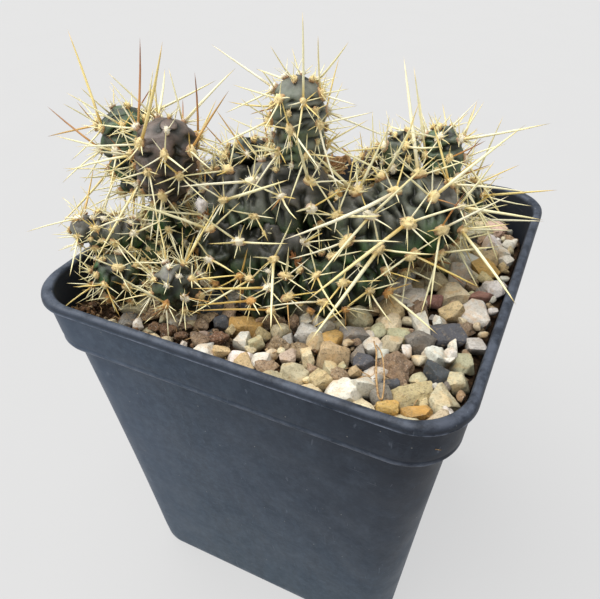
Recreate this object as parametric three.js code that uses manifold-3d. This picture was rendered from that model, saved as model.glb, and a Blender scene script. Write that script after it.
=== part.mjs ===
// Potted brittle prickly pear: a clump of small spiny stem segments in a square plastic nursery pot.
// Millimetres, +Z up. The origin is the middle of the pot's base, and the pot's walls face +-X and +-Y.

import * as THREE from "three";
import { mergeVertices } from "three/addons/utils/BufferGeometryUtils.js";
import Module from "manifold-3d";

const wasm = await Module();
wasm.setup();

// Driving dimensions

const POT_WIDTH = 90;
const POT_HEIGHT = 90;
const RIM_WIDTH = 2;
const RIM_ROUND = 0.5;
const COLLAR_DROP = 11.2;
const COLLAR_HALF = 43.4;
const STEP_DROP = 1;
const BODY_HALF = 41.6;
const BASE_HALF = 34.6;
const CORNER_RADIUS = 10.6;
const CORNER_TAPER = 0.2;
const WALL = 1.1;
const FLOOR = 1.4;
const DRAIN_RADIUS = 4;
const DRAIN_OFFSET = 20;
const GAP = 0.3;

const SOIL_TOP = 75;
const BED_DEPTH = 2.4;
const GRAVEL_TOP = 81.5;
const GRAVEL_SLOPE = 0.022;
const STONE_PITCH = 7.5;
const STONE_JITTER = 1.2;
const STONE_MIN = 3.2;
const STONE_MAX = 4.6;
const STONE_SUNK = 0.6;
const STONE_REACH = 1.15;
const ANGULAR_SHARE = 0.85;

const ROOT_TOP_RADIUS = 2;
const ROOT_END_RADIUS = 1;
const ROOT_END = 64;

const BLUNTNESS = 3.3;
const FATTEST = 0.46;
const TUBERCLE = 0.11;
const AREOLE_RADIUS = 0.5;
const AREOLE_HEIGHT = 0.45;
const AREOLE_SIDES = 5;
const SPINE_LENGTHS = [22, 13, 9, 6.5, 5];
const SPINE_SHORTEST = 3.5;
const SPINE_TRIES = 24;
const CLEARANCE = 0.4;
const OWN_CLEARANCE = 0.15;
const SPINE_ROOT = 0.4;
const SPINE_STEP = 1.2;

const CORNER_STEPS = 5;
const DRAIN_SIDES = 12;
const ROOT_SIDES = 7;

const GREEN = 0x35493b;
const PURPLE = 0x5b5157;
const BROWN = 0x7a4f35;
const SLATE = 0x30343c;
const PEAT = 0x3a2c22;
const SAND = 0xb9ad98;

// The stem segments: base and tip of each axis, half-width, and a factor for the length of its spines.
// A rooted one stands in the soil. Later ones are cut back where they press on earlier ones.
// Fattest is the share of the length where it is widest.
// A bare one has no areoles: the crumpled remains of a flower are made the same way.
// Each row under long is one of the longest spines: its areole's ring and column, and where its point is.

const STEMS = [
  {
    name: "right_large_stem",
    base: [4.7, -6.7, 93],
    tip: [28.2, 14.5, 98],
    radius: 9.1,
    turn: 0.15,
    spacing: 6.4,
    spines: 1.1,
    long: [
      [6, 3, -5, -9, 105],
      [6, 5, 5, -26, 105],
      [4, 6, 11, -23, 97],
      [6, 7, 11.5, -30, 96],
      [4, 8, 15, -18, 86],
      [6, 9, 18, -15, 92],
      [8, 10, 28, -10, 82],
      [8, 8, 30, -10, 86],
      [6, 11, 24, -10, 82],
      [8, 4, 11, 20, 126],
      [10, 3, 27, 29, 120],
      [8, 6, 38, 19, 116],
      [10, 5, 42, 16, 103],
      [2, 7, 2, -17, 95],
      [2, 5, 20, -15, 108],
      [10, 7, 46, 13, 99],
    ],
  },
  {
    name: "centre_upper_stem",
    base: [-23, -8.1, 98],
    tip: [5.8, -3.5, 104],
    radius: 7.1,
    color: PURPLE,
    spines: 0.85,
    long: [
      [4, 6, 3, -18, 113],
      [6, 7, -3, -16, 97],
      [8, 6, -9, -16, 110],
      [4, 4, -16, -3, 116],
      [6, 3, -3, 0, 114],
    ],
  },
  {
    name: "centre_lower_stem",
    base: [-20.5, -15.9, 90],
    tip: [5, -5.7, 91.5],
    radius: 7.4,
    turn: 0.55,
    spines: 0.85,
    long: [
      [6, 5, 3, -24, 84],
      [8, 6, 5, -21, 83],
      [4, 4, 3, -19, 100],
      [4, 6, -6, -24, 85],
      [6, 3, 5, -14, 100],
    ],
  },
  {
    name: "upright_stem",
    base: [-2.5, -1.7, 106],
    tip: [-1.9, -4.4, 127],
    radius: 5,
    turn: 0.15,
    spines: 0.75,
    long: [
      [8, 6, -20, -5, 131],
      [8, 8, -12, -11, 126],
      [8, 10, 1, -8, 139],
      [8, 0, 3, -6, 135],
      [8, 2, 8, -4, 134],
      [6, 9, 8, -15, 114],
    ],
  },
  {
    name: "upper_left_front_stem",
    base: [-31.6, -11.5, 98],
    tip: [-26.2, -13.4, 117.1],
    radius: 6.2,
    fattest: 0.6,
    turn: 0.75,
    color: PURPLE,
    spines: 0.9,
    long: [
      [8, 6, -36, -6, 131],
      [8, 8, -22, -17, 134],
      [8, 0, -23, -7, 126],
      [8, 12, -16, -6, 123],
      [6, 9, -23, -25, 102],
      [8, 10, -26, -25, 112],
      [6, 11, -15, -18, 104],
      [6, 13, -14, -13, 104],
    ],
  },
  {
    name: "upper_left_back_stem",
    base: [-39.2, -8.2, 96],
    tip: [-42.9, -7.8, 116.5],
    radius: 6,
    fattest: 0.55,
    spines: 0.8,
    long: [
      [8, 10, -54, -7, 131],
      [8, 12, -47, -18, 122],
      [6, 9, -59, -13, 116],
      [6, 11, -51, -20, 113],
    ],
  },
  {
    name: "left_lower_stem",
    base: [-32.1, -8.9, 80],
    tip: [-30, -13.9, 98.5],
    radius: 5.4,
    spines: 0.55,
    rooted: true,
  },
  {
    name: "left_outer_stem",
    base: [-30.8, -20.5, 94],
    tip: [-44.2, -28.2, 97],
    radius: 3.5,
    spines: 0.5,
    long: [
      [8, 2, -48, -36, 99],
    ],
  },
  {
    name: "left_middle_stem",
    base: [-27.8, -17.8, 88],
    tip: [-35.8, -23.8, 91],
    radius: 3.1,
    spines: 0.5,
  },
  {
    name: "left_corner_stem",
    base: [-30.7, -25.7, 83],
    tip: [-35.3, -31.3, 92],
    radius: 4.4,
    turn: 0.15,
    spines: 0.55,
    rooted: true,
    long: [
      [6, 1, -35, -36, 98],
      [6, 11, -38, -37, 89],
      [4, 0, -23, -28, 88],
    ],
  },
  {
    name: "left_front_stem",
    base: [-19.4, -22.9, 83],
    tip: [-18.2, -31, 93],
    radius: 4.5,
    turn: 0.75,
    spacing: 4,
    color: PURPLE,
    spines: 0.6,
    rooted: true,
    long: [
      [6, 5, -32, -29, 98],
      [6, 7, -28, -37, 88],
      [6, 11, -7, -28, 88],
      [6, 9, -22, -41, 100],
    ],
  },
  {
    name: "front_right_low_stem",
    base: [4.1, -16.3, 87],
    tip: [18.3, -2.3, 88.5],
    radius: 6.2,
    turn: 0.75,
    spines: 0.75,
    rooted: true,
    long: [
      [2, 3, 18, -26, 91],
      [4, 4, 11, -26, 88],
    ],
  },
  {
    name: "front_low_stem",
    base: [-7.1, -20.1, 85],
    tip: [3.5, -15.1, 86.5],
    radius: 5.5,
    turn: 0.75,
    spacing: 4.6,
    spines: 0.65,
    rooted: true,
    long: [
      [6, 5, 7, -27, 85],
      [6, 7, 3, -31, 88],
    ],
  },
  {
    name: "back_left_stem",
    base: [-15, -0.2, 101.5],
    tip: [-17.1, 1, 110.5],
    radius: 4.9,
    spines: 0.65,
    long: [
      [4, 10, -21, -4, 118],
      [4, 0, -14, 3, 117],
    ],
  },
  {
    name: "back_right_outer_stem",
    base: [22.9, 15.1, 101],
    tip: [21.9, 19.3, 113],
    radius: 4.4,
    spines: 0.8,
    long: [
      [4, 8, 15, 14, 126],
      [6, 9, 28, 18, 120],
      [6, 7, 15, 21, 118],
    ],
  },
  {
    name: "back_right_inner_stem",
    base: [15.3, 11.5, 102],
    tip: [13.4, 15.1, 112],
    radius: 4,
    spines: 0.7,
  },
  {
    name: "back_small_stem",
    base: [9.4, 11, 101],
    tip: [8.6, 13, 108.5],
    radius: 2.6,
    spines: 0.5,
    long: [
      [4, 8, 8, 11, 117],
    ],
  },
  {
    name: "right_end_stem",
    base: [22.7, 17.2, 94.5],
    tip: [30.9, 26.4, 95.5],
    radius: 4,
    spines: 0.9,
    long: [
      [4, 4, 38, 27, 104],
      [4, 6, 40, 20, 91],
      [4, 8, 46, 28, 91],
    ],
  },
  {
    name: "dried_flower",
    base: [1.5, 2.6, 105.5],
    tip: [6.8, 4.6, 109.5],
    radius: 2.1,
    spacing: 3,
    color: BROWN,
    bare: true,
  },
];

// Seeded draws

let seed = 20261;

function random() {
  seed = (Math.imul(seed, 1664525) + 1013904223) >>> 0;
  return seed / 4294967296;
}

function between(low, high) {
  return low + (high - low) * random();
}

// Solids

function solidFromArrays(points, faces) {
  const geometry = new THREE.BufferGeometry();
  geometry.setAttribute("position", new THREE.Float32BufferAttribute(points.flat(), 3));
  geometry.setIndex(faces.flat());
  return solidFromGeometry(geometry);
}

// The geometry with shared corners, and nothing but positions.
function mergedCorners(geometry) {
  const bare = geometry.clone();
  bare.deleteAttribute("normal");
  bare.deleteAttribute("uv");
  return mergeVertices(bare, 1e-4);
}

function solidFromGeometry(geometry) {
  const merged = mergedCorners(geometry);
  return new wasm.Manifold(
    new wasm.Mesh({
      numProp: 3,
      vertProperties: new Float32Array(merged.attributes.position.array),
      triVerts: new Uint32Array(merged.index.array),
    }),
  );
}

// The largest body of a solid: cuts can leave loose slivers beside it.
function largestBody(solid) {
  const bodies = solid.decompose();
  return bodies.reduce((best, body) => (body.volume() > best.volume() ? body : best));
}

function meshFromSolid(solid, name, color, roughness) {
  const made = largestBody(solid).getMesh();
  const geometry = new THREE.BufferGeometry();
  geometry.setAttribute("position", new THREE.Float32BufferAttribute(made.vertProperties, 3));
  geometry.setIndex(Array.from(made.triVerts));
  geometry.computeVertexNormals();
  const material = new THREE.MeshStandardMaterial({ color, roughness, metalness: 0, flatShading: true });
  const mesh = new THREE.Mesh(geometry, material);
  mesh.name = name;
  return mesh;
}

// Rings of equal point count joined into a closed skin, bottom ring first.
function loft(rings) {
  const count = rings[0].length;
  const faces = [];
  for (let i = 0; i < rings.length - 1; i++) {
    const a = i * count;
    const b = a + count;
    for (let j = 0; j < count; j++) {
      const k = (j + 1) % count;
      faces.push([a + j, a + k, b + k], [a + j, b + k, b + j]);
    }
  }
  const top = (rings.length - 1) * count;
  for (let j = 1; j < count - 1; j++) {
    faces.push([0, j + 1, j], [top, top + j, top + j + 1]);
  }
  return solidFromArrays(rings.flat(), faces);
}

// A horizontal square ring with rounded corners, a little tighter where the ring is smaller.
function squareRing(half, z) {
  const radius = CORNER_RADIUS - (RIM_HALF - half) * CORNER_TAPER;
  const ring = [];
  const signs = [[1, 1], [-1, 1], [-1, -1], [1, -1]];
  signs.forEach(([sx, sy], corner) => {
    for (let i = 0; i <= CORNER_STEPS; i++) {
      const angle = (corner + i / CORNER_STEPS) * (Math.PI / 2);
      ring.push([
        sx * (half - radius) + radius * Math.cos(angle),
        sy * (half - radius) + radius * Math.sin(angle),
        z,
      ]);
    }
  });
  return ring;
}

// Pot

const RIM_HALF = POT_WIDTH / 2;
const COLLAR_Z = POT_HEIGHT - COLLAR_DROP;
const STEP_Z = COLLAR_Z - STEP_DROP;
const INNER_RIM_HALF = RIM_HALF - RIM_WIDTH;

// Half-width of the inside of the pot at a height, between its floor and its rim.
function innerHalf(z) {
  if (z <= STEP_Z) {
    const share = z / STEP_Z;
    return BASE_HALF + (BODY_HALF - BASE_HALF) * share - WALL;
  }
  if (z <= COLLAR_Z) {
    const share = (z - STEP_Z) / STEP_DROP;
    return BODY_HALF - WALL + (COLLAR_HALF - BODY_HALF) * share;
  }
  const share = (z - COLLAR_Z) / COLLAR_DROP;
  return COLLAR_HALF - WALL + (INNER_RIM_HALF - COLLAR_HALF + WALL) * share;
}

function drainHole(x, y) {
  const geometry = new THREE.CylinderGeometry(DRAIN_RADIUS, DRAIN_RADIUS, 4 * FLOOR, DRAIN_SIDES);
  geometry.rotateX(Math.PI / 2);
  geometry.translate(x, y, 0);
  return solidFromGeometry(geometry);
}

function potSolid() {
  const outer = [
    [BASE_HALF - 0.8, 0],
    [BASE_HALF, 0.8],
    [BODY_HALF, STEP_Z],
    [COLLAR_HALF, COLLAR_Z],
    [RIM_HALF - 0.1, POT_HEIGHT - 1],
    [RIM_HALF, POT_HEIGHT - RIM_ROUND],
    [RIM_HALF - RIM_ROUND, POT_HEIGHT],
  ];
  const inner = [
    [INNER_RIM_HALF + RIM_ROUND, POT_HEIGHT],
    [INNER_RIM_HALF, POT_HEIGHT - RIM_ROUND],
    [innerHalf(COLLAR_Z), COLLAR_Z],
    [innerHalf(STEP_Z), STEP_Z],
    [innerHalf(FLOOR), FLOOR],
  ];
  let solid = loft(outer.concat(inner).map(([half, z]) => squareRing(half, z)));
  for (const sx of [-1, 1]) {
    for (const sy of [-1, 1]) {
      solid = solid.subtract(drainHole(sx * DRAIN_OFFSET, sy * DRAIN_OFFSET));
    }
  }
  return solid;
}

// A block that fills the inside of the pot from one height to another, clear of the wall.
function fillSolid(low, high) {
  const heights = [low, STEP_Z, COLLAR_Z, high].filter((z) => z >= low && z <= high);
  return loft([...new Set(heights)].map((z) => squareRing(innerHalf(z) - GAP, z)));
}

// Stem segments

class Stem {
  constructor({
    name,
    base,
    tip,
    radius,
    color = GREEN,
    spines = 1,
    rooted = false,
    turn = 0,
    spacing = 2.2 + 0.55 * radius,
    fattest = FATTEST,
    long = [],
    bare = false,
  }) {
    this.name = name;
    this.lean = Math.log(0.5) / Math.log(fattest);
    this.turn = turn;
    this.long = long;
    this.bare = bare;
    this.color = color;
    this.radius = radius;
    this.spineScale = spines;
    this.rooted = rooted;
    this.base = new THREE.Vector3(...base);
    this.tip = new THREE.Vector3(...tip);
    this.length = this.base.distanceTo(this.tip);
    this.axis = this.tip.clone().sub(this.base).normalize();
    const upright = Math.abs(this.axis.z) > 0.9;
    const reference = upright ? new THREE.Vector3(0, 1, 0) : new THREE.Vector3(0, 0, 1);
    this.side = reference.cross(this.axis).normalize();
    this.front = this.axis.clone().cross(this.side);
    this.areoleRadius = AREOLE_RADIUS + 0.035 * radius;
    this.columns = 2 * Math.round((2 * Math.PI * radius) / spacing);
    this.rows = 2 * Math.max(2, Math.round(this.length / spacing)) + 1;
    this.areoles = [];
  }

  // How far along the axis ring i stands, from 0 at the base to 1 at the tip.
  share(i) {
    const even = i / (this.rows + 1);
    const round = (1 - Math.cos(Math.PI * even)) / 2;
    return 0.45 * even + 0.55 * round;
  }

  // Half-width at a share of the length.
  profile(share) {
    const t = THREE.MathUtils.clamp(share, 0, 1) ** this.lean;
    return this.radius * Math.sqrt(Math.max(0, 1 - Math.abs(2 * t - 1) ** BLUNTNESS));
  }

  isPeak(i, j) {
    return i % 2 === 0 && (j + i / 2) % 2 === 0;
  }

  point(i, j, grow) {
    const share = this.share(i);
    const lift = this.isPeak(i, j) ? TUBERCLE * this.radius : 0;
    const radius = this.profile(share) + lift + grow;
    const angle = (2 * Math.PI * j) / this.columns + this.turn;
    return this.base
      .clone()
      .addScaledVector(this.axis, share * this.length)
      .addScaledVector(this.side, radius * Math.cos(angle))
      .addScaledVector(this.front, radius * Math.sin(angle));
  }

  normal(i, j) {
    const along = this.point(i + 1, j, 0).sub(this.point(i - 1, j, 0));
    const across = this.point(i, j + 1, 0).sub(this.point(i, j - 1, 0));
    return across.cross(along).normalize();
  }

  // The tubercled body. As a cutter it is grown outward by a margin and has no areoles.
  body(grow) {
    const areoles = grow > 0 ? [] : this.areoles;
    const points = [this.base.clone().addScaledVector(this.axis, -grow)];
    for (let i = 1; i <= this.rows; i++) {
      for (let j = 0; j < this.columns; j++) {
        points.push(this.point(i, j, grow));
      }
    }
    points.push(this.tip.clone().addScaledVector(this.axis, grow));
    const at = (i, j) => 1 + (i - 1) * this.columns + ((j + this.columns) % this.columns);
    const last = points.length - 1;
    const faces = [];
    for (let j = 0; j < this.columns; j++) {
      faces.push([0, at(1, j + 1), at(1, j)], [last, at(this.rows, j), at(this.rows, j + 1)]);
    }
    for (let i = 2; i < this.rows; i += 2) {
      for (let j = 0; j < this.columns; j++) {
        if (!this.isPeak(i, j)) {
          continue;
        }
        const around = [
          at(i - 1, j - 1),
          at(i - 1, j),
          at(i - 1, j + 1),
          at(i, j + 1),
          at(i + 1, j + 1),
          at(i + 1, j),
          at(i + 1, j - 1),
          at(i, j - 1),
        ];
        const areole = areoles.find((one) => one.i === i && one.j === j);
        if (areole) {
          areole.addTo(points, faces, around);
        } else {
          around.forEach((corner, k) => faces.push([at(i, j), corner, around[(k + 1) % around.length]]));
        }
      }
    }
    return solidFromArrays(points.map((point) => point.toArray()), faces);
  }

  // How far a point lies outside the body, negative inside it.
  distance(point) {
    const offset = point.clone().sub(this.base);
    const along = offset.dot(this.axis);
    const radial = offset.addScaledVector(this.axis, -along).length();
    const share = along / this.length;
    if (share < 0 || share > 1) {
      const beyond = share < 0 ? -along : along - this.length;
      return Math.hypot(beyond, Math.max(0, radial - 0.3 * this.radius));
    }
    return radial - this.profile(share) - TUBERCLE * this.radius;
  }
}

function rootSolid(stem, extra) {
  const top = stem.base.clone().addScaledVector(stem.axis, stem.length * 0.25);
  const height = top.z - ROOT_END + extra;
  const [wide, narrow] = [ROOT_TOP_RADIUS + extra, ROOT_END_RADIUS + extra];
  const geometry = new THREE.CylinderGeometry(wide, narrow, height, ROOT_SIDES);
  geometry.rotateX(Math.PI / 2);
  geometry.translate(top.x, top.y, top.z - height / 2);
  return solidFromGeometry(geometry);
}

// Gravel

// A block or a rounder pebble with its corners pulled about at random.
function stone(x, y, radius, z) {
  const angular = random() < ANGULAR_SHARE;
  const merged = mergedCorners(
    angular ? new THREE.BoxGeometry(1.5, 1.5, 1.5) : new THREE.IcosahedronGeometry(1, 0),
  );
  const position = merged.attributes.position;
  const turn = new THREE.Euler(between(0, Math.PI), between(0, Math.PI), between(0, Math.PI));
  const stretch = new THREE.Vector3(between(0.75, 1.25), between(0.75, 1.1), between(0.7, 1));
  for (let i = 0; i < position.count; i++) {
    const corner = new THREE.Vector3().fromBufferAttribute(position, i);
    corner.multiplyScalar(radius * between(0.75, 1.1)).multiply(stretch).applyEuler(turn);
    position.setXYZ(i, x + corner.x, y + corner.y, z + corner.z);
  }
  return solidFromGeometry(merged);
}

const stones = [];

function gravelSurface(x, y) {
  return GRAVEL_TOP + GRAVEL_SLOPE * (x - y);
}

function bedTop(x, y) {
  return gravelSurface(x, y) - BED_DEPTH;
}

// The packed lower part of the gravel, with the same slope as the surface of the stones.
function bedSolid() {
  const bottom = squareRing(INNER_RIM_HALF, SOIL_TOP - 1);
  const top = bottom.map(([x, y]) => [x, y, bedTop(x, y)]);
  return loft([bottom, top]);
}

function gravelSolid(stems) {
  let solid = bedSolid();
  const count = Math.ceil(RIM_HALF / STONE_PITCH) + 1;
  const limit = innerHalf(COLLAR_Z) - 1;
  for (let row = -count; row <= count; row++) {
    for (let column = -count; column <= count; column++) {
      const x = (column + (row % 2 ? 0.5 : 0)) * STONE_PITCH + between(-STONE_JITTER, STONE_JITTER);
      const y = row * STONE_PITCH * 0.88 + between(-STONE_JITTER, STONE_JITTER);
      const radius = between(STONE_MIN, STONE_MAX);
      const z = gravelSurface(x, y) - STONE_SUNK * radius;
      if (Math.abs(x) > limit || Math.abs(y) > limit) {
        continue;
      }
      const made = stone(x, y, radius, z);
      const middle = new THREE.Vector3(x, y, z);
      if (stems.some((stem) => stem.distance(middle) < 0)) {
        continue;
      }
      stones.push({ middle, radius: radius * STONE_REACH });
      solid = solid.add(made);
    }
  }
  return solid.intersect(fillSolid(SOIL_TOP, POT_HEIGHT - 1));
}

// Areoles and spines

const placedSpines = [];
const WALL_REACH = innerHalf(COLLAR_Z) - 0.5;

// The closest approach of two spines, less their thickness there.
function spineGap(a, b) {
  const d1 = a.end.clone().sub(a.start);
  const d2 = b.end.clone().sub(b.start);
  const r = a.start.clone().sub(b.start);
  const aa = d1.dot(d1);
  const bb = d2.dot(d2);
  const ab = d1.dot(d2);
  const ar = d1.dot(r);
  const br = d2.dot(r);
  const det = aa * bb - ab * ab;
  let s = det > 1e-9 ? THREE.MathUtils.clamp((ab * br - ar * bb) / det, 0, 1) : 0;
  const t = THREE.MathUtils.clamp((ab * s + br) / bb, 0, 1);
  s = THREE.MathUtils.clamp((ab * t - ar) / aa, 0, 1);
  const gap = a.start.clone().addScaledVector(d1, s).distanceTo(b.start.clone().addScaledVector(d2, t));
  return gap - SPINE_ROOT * (2 - s - t);
}

function spineIsClear(stem, spine, stems) {
  const direction = spine.end.clone().sub(spine.start);
  const steps = Math.ceil(direction.length() / SPINE_STEP);
  for (let i = 1; i <= steps; i++) {
    const share = i / steps;
    const margin = CLEARANCE + SPINE_ROOT * (1 - share);
    const point = spine.start.clone().addScaledVector(direction, share);
    const reach = Math.max(Math.abs(point.x), Math.abs(point.y));
    const hitsWall = point.z < POT_HEIGHT + margin && reach > WALL_REACH - margin;
    const hitsBed = point.z < bedTop(point.x, point.y) + margin + 1;
    const hitsStem = stems.some((other) => {
      return other.distance(point) < (other === stem ? OWN_CLEARANCE * (i - 1) : margin + GAP);
    });
    const hitsStone = stones.some(({ middle, radius }) => middle.distanceTo(point) < radius + margin);
    if (hitsWall || hitsBed || hitsStem || hitsStone) {
      return false;
    }
  }
  return placedSpines.every((other) => other.start === spine.start || spineGap(spine, other) > CLEARANCE);
}

// A low dome on a tubercle. Each facet can be drawn out into one spine.
class Areole {
  constructor(stem, i, j) {
    this.stem = stem;
    this.i = i;
    this.j = j;
    this.start = stem.point(i, j, 0);
    this.outward = stem.normal(i, j);
    this.back = stem.axis.clone().negate().projectOnPlane(this.outward).normalize();
    this.across = this.outward.clone().cross(this.back);
    this.turn = between(-0.6, 0.6);
    this.tips = Array(AREOLE_SIDES).fill(null);
    this.long = stem.long.find(([ring, column]) => ring === i && column === j);
  }

  // The direction at an angle around the areole, counted from the side of the stem's base, and at a
  // tilt from straight outward.
  direction(angle, tilt) {
    return this.back
      .clone()
      .multiplyScalar(Math.cos(angle))
      .addScaledVector(this.across, Math.sin(angle))
      .multiplyScalar(Math.sin(tilt))
      .addScaledVector(this.outward, Math.cos(tilt));
  }

  sectorAngle(k) {
    return this.turn + (2 * Math.PI * k) / AREOLE_SIDES;
  }

  // The listed long spine, shortened until it is clear.
  placeLongSpine(stems) {
    if (!this.long) {
      return;
    }
    const point = new THREE.Vector3(...this.long.slice(2));
    this.turn = this.angleOf(point);
    for (let share = 1; share > 0.3 && !this.tips[0]; share -= 0.05) {
      this.keepIfClear(0, this.start.clone().lerp(point, share), stems);
    }
  }

  keepIfClear(k, end, stems) {
    const spine = { stem: this.stem, start: this.start, end };
    if (spineIsClear(this.stem, spine, stems)) {
      this.tips[k] = end;
      placedSpines.push(spine);
    }
  }

  placeSpines(stems) {
    const nearTip = this.i >= this.stem.rows - 1;
    const order = [0, 2, 3, 1, 4];
    SPINE_LENGTHS.forEach((length, rank) => {
      const k = order[rank];
      for (let attempt = 0; attempt < SPINE_TRIES && !this.tips[k]; attempt++) {
        const angle = this.sectorAngle(k) + between(-0.45, 0.45);
        const low = rank === 0 && nearTip ? 0.15 : 0.45;
        const high = rank === 0 && nearTip ? 0.7 : 1.25;
        const direction = this.direction(angle, between(low, high));
        const share = between(0.8, 1.15) * (1 - 0.03 * attempt) * this.stem.spineScale;
        const reach = Math.max(SPINE_SHORTEST, length * share);
        this.keepIfClear(k, this.start.clone().addScaledVector(direction, reach), stems);
      }
    });
  }

  addTo(points, faces, around) {
    const first = points.length;
    const inner = [];
    for (let k = 0; k < AREOLE_SIDES; k++) {
      const angle = this.sectorAngle(k - 0.5);
      const corner = this.direction(angle, Math.PI / 2).multiplyScalar(this.stem.areoleRadius);
      points.push(corner.add(this.start));
      inner.push(first + k);
    }
    points.push(this.start.clone().addScaledVector(this.outward, AREOLE_HEIGHT));
    const middle = points.length - 1;
    bridge(points, faces, around, inner, this);
    for (let k = 0; k < AREOLE_SIDES; k++) {
      const [a, b] = [inner[k], inner[(k + 1) % AREOLE_SIDES]];
      if (this.tips[k]) {
        points.push(this.tips[k]);
        const tip = points.length - 1;
        faces.push([a, b, tip], [b, middle, tip], [middle, a, tip]);
      } else {
        faces.push([a, b, middle]);
      }
    }
  }

  angleOf(point) {
    const offset = point.clone().sub(this.start);
    return Math.atan2(offset.dot(this.across), offset.dot(this.back));
  }
}

// Joins an outer loop of corners to an inner one, both running the same way around the areole.
function bridge(points, faces, outer, inner, areole) {
  const sorted = (loop) =>
    loop
      .map((index) => ({ index, angle: areole.angleOf(points[index]) }))
      .sort((a, b) => a.angle - b.angle);
  const [out, ins] = [sorted(outer), sorted(inner)];
  const angleAt = (loop, k) => loop[k % loop.length].angle + 2 * Math.PI * Math.floor(k / loop.length);
  let [a, b] = [0, 0];
  while (a < out.length || b < ins.length) {
    const nextOut = angleAt(out, a + 1);
    const nextIn = angleAt(ins, b + 1);
    const [o, n] = [out[a % out.length].index, ins[b % ins.length].index];
    if (b >= ins.length || (a < out.length && nextOut < nextIn)) {
      faces.push([o, out[(a + 1) % out.length].index, n]);
      a += 1;
    } else {
      faces.push([o, ins[(b + 1) % ins.length].index, n]);
      b += 1;
    }
  }
}

function planAreoles(stem, stems) {
  if (stem.bare) {
    return;
  }
  for (let i = 2; i < stem.rows; i += 2) {
    for (let j = 0; j < stem.columns; j++) {
      if (!stem.isPeak(i, j)) {
        continue;
      }
      const areole = new Areole(stem, i, j);
      const { start } = areole;
      const nearStem = stems.some((other) => other !== stem && other.distance(start) < 1);
      const nearStone = stones.some(({ middle, radius }) => middle.distanceTo(start) < radius + 0.8);
      if (nearStem || nearStone || start.z < bedTop(start.x, start.y) + 1.2) {
        continue;
      }
      areole.placeLongSpine(stems);
      stem.areoles.push(areole);
    }
  }
}

function stemSolid(stem, stems) {
  let solid = stem.body(0);
  if (stem.rooted) {
    solid = solid.add(rootSolid(stem, 0));
  }
  for (const earlier of stems.slice(0, stems.indexOf(stem))) {
    solid = solid.subtract(earlier.body(GAP));
  }
  return solid;
}

// The whole object

const stems = STEMS.map((row) => new Stem(row));
const rooted = stems.filter((stem) => stem.rooted);

let soil = fillSolid(FLOOR, SOIL_TOP);
let gravel = gravelSolid(stems);
for (const stem of rooted) {
  soil = soil.subtract(rootSolid(stem, GAP));
  gravel = gravel.subtract(rootSolid(stem, GAP));
}
for (const stem of stems) {
  gravel = gravel.subtract(stem.body(GAP));
}

const plant = new THREE.Group();
plant.add(meshFromSolid(potSolid(), "pot", SLATE, 0.5));
plant.add(meshFromSolid(soil, "soil", PEAT, 0.95));
plant.add(meshFromSolid(gravel, "gravel", SAND, 0.85));
stems.forEach((stem) => planAreoles(stem, stems));
stems.forEach((stem) => stem.areoles.forEach((areole) => areole.placeSpines(stems)));
for (const stem of stems) {
  plant.add(meshFromSolid(stemSolid(stem, stems), stem.name, stem.color, 0.6));
}

export default plant;
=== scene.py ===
# Looks of the potted brittle prickly pear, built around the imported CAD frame. Lengths are in millimetres
# until a mesh is made, +Z is up, and the origin is the middle of the pot's base.
import functools
import itertools
import math
import zlib

import bmesh
import bpy
import numpy as np
from mathutils import Matrix


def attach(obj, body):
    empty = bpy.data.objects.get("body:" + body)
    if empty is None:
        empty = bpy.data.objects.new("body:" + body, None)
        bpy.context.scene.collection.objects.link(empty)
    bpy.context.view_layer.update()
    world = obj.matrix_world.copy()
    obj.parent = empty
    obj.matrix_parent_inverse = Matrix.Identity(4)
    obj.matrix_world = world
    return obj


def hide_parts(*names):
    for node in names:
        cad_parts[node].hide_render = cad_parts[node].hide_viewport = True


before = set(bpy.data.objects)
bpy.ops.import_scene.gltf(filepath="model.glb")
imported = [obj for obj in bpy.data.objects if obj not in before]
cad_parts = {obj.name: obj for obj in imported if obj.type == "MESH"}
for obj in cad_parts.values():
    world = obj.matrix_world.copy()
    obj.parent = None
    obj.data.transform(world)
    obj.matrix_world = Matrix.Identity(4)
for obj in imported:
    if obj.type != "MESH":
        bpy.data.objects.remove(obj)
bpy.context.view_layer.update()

MM = 0.001

# The pot, the bed and the stems, with the same values as the CAD part

POT_HEIGHT = 90
RIM_HALF = 45
RIM_WIDTH = 2
COLLAR_HALF = 43.4
COLLAR_Z = 78.8
STEP_Z = 77.8
BODY_HALF = 41.6
BASE_HALF = 34.6
CORNER_RADIUS = 10.6
CORNER_TAPER = 0.2
WALL = 1.1
FLOOR = 1.4
DRAIN_RADIUS = 4
DRAIN_OFFSET = 20
SOIL_TOP = 75
GRAVEL_TOP = 81.5
GRAVEL_SLOPE = 0.022
BLUNTNESS = 3.3
FATTEST = 0.46
EVENNESS = 0.45
LEAST_SPACING = 2.2
SPACING_GROWTH = 0.55
TUBERCLE = 0.11
AREOLE_HEIGHT = 0.45
ROOT_END = 64

# The share of the length where a segment is widest, if not FATTEST.
WIDEST = {"upper_left_front_stem": 0.6, "upper_left_back_stem": 0.55}

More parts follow.
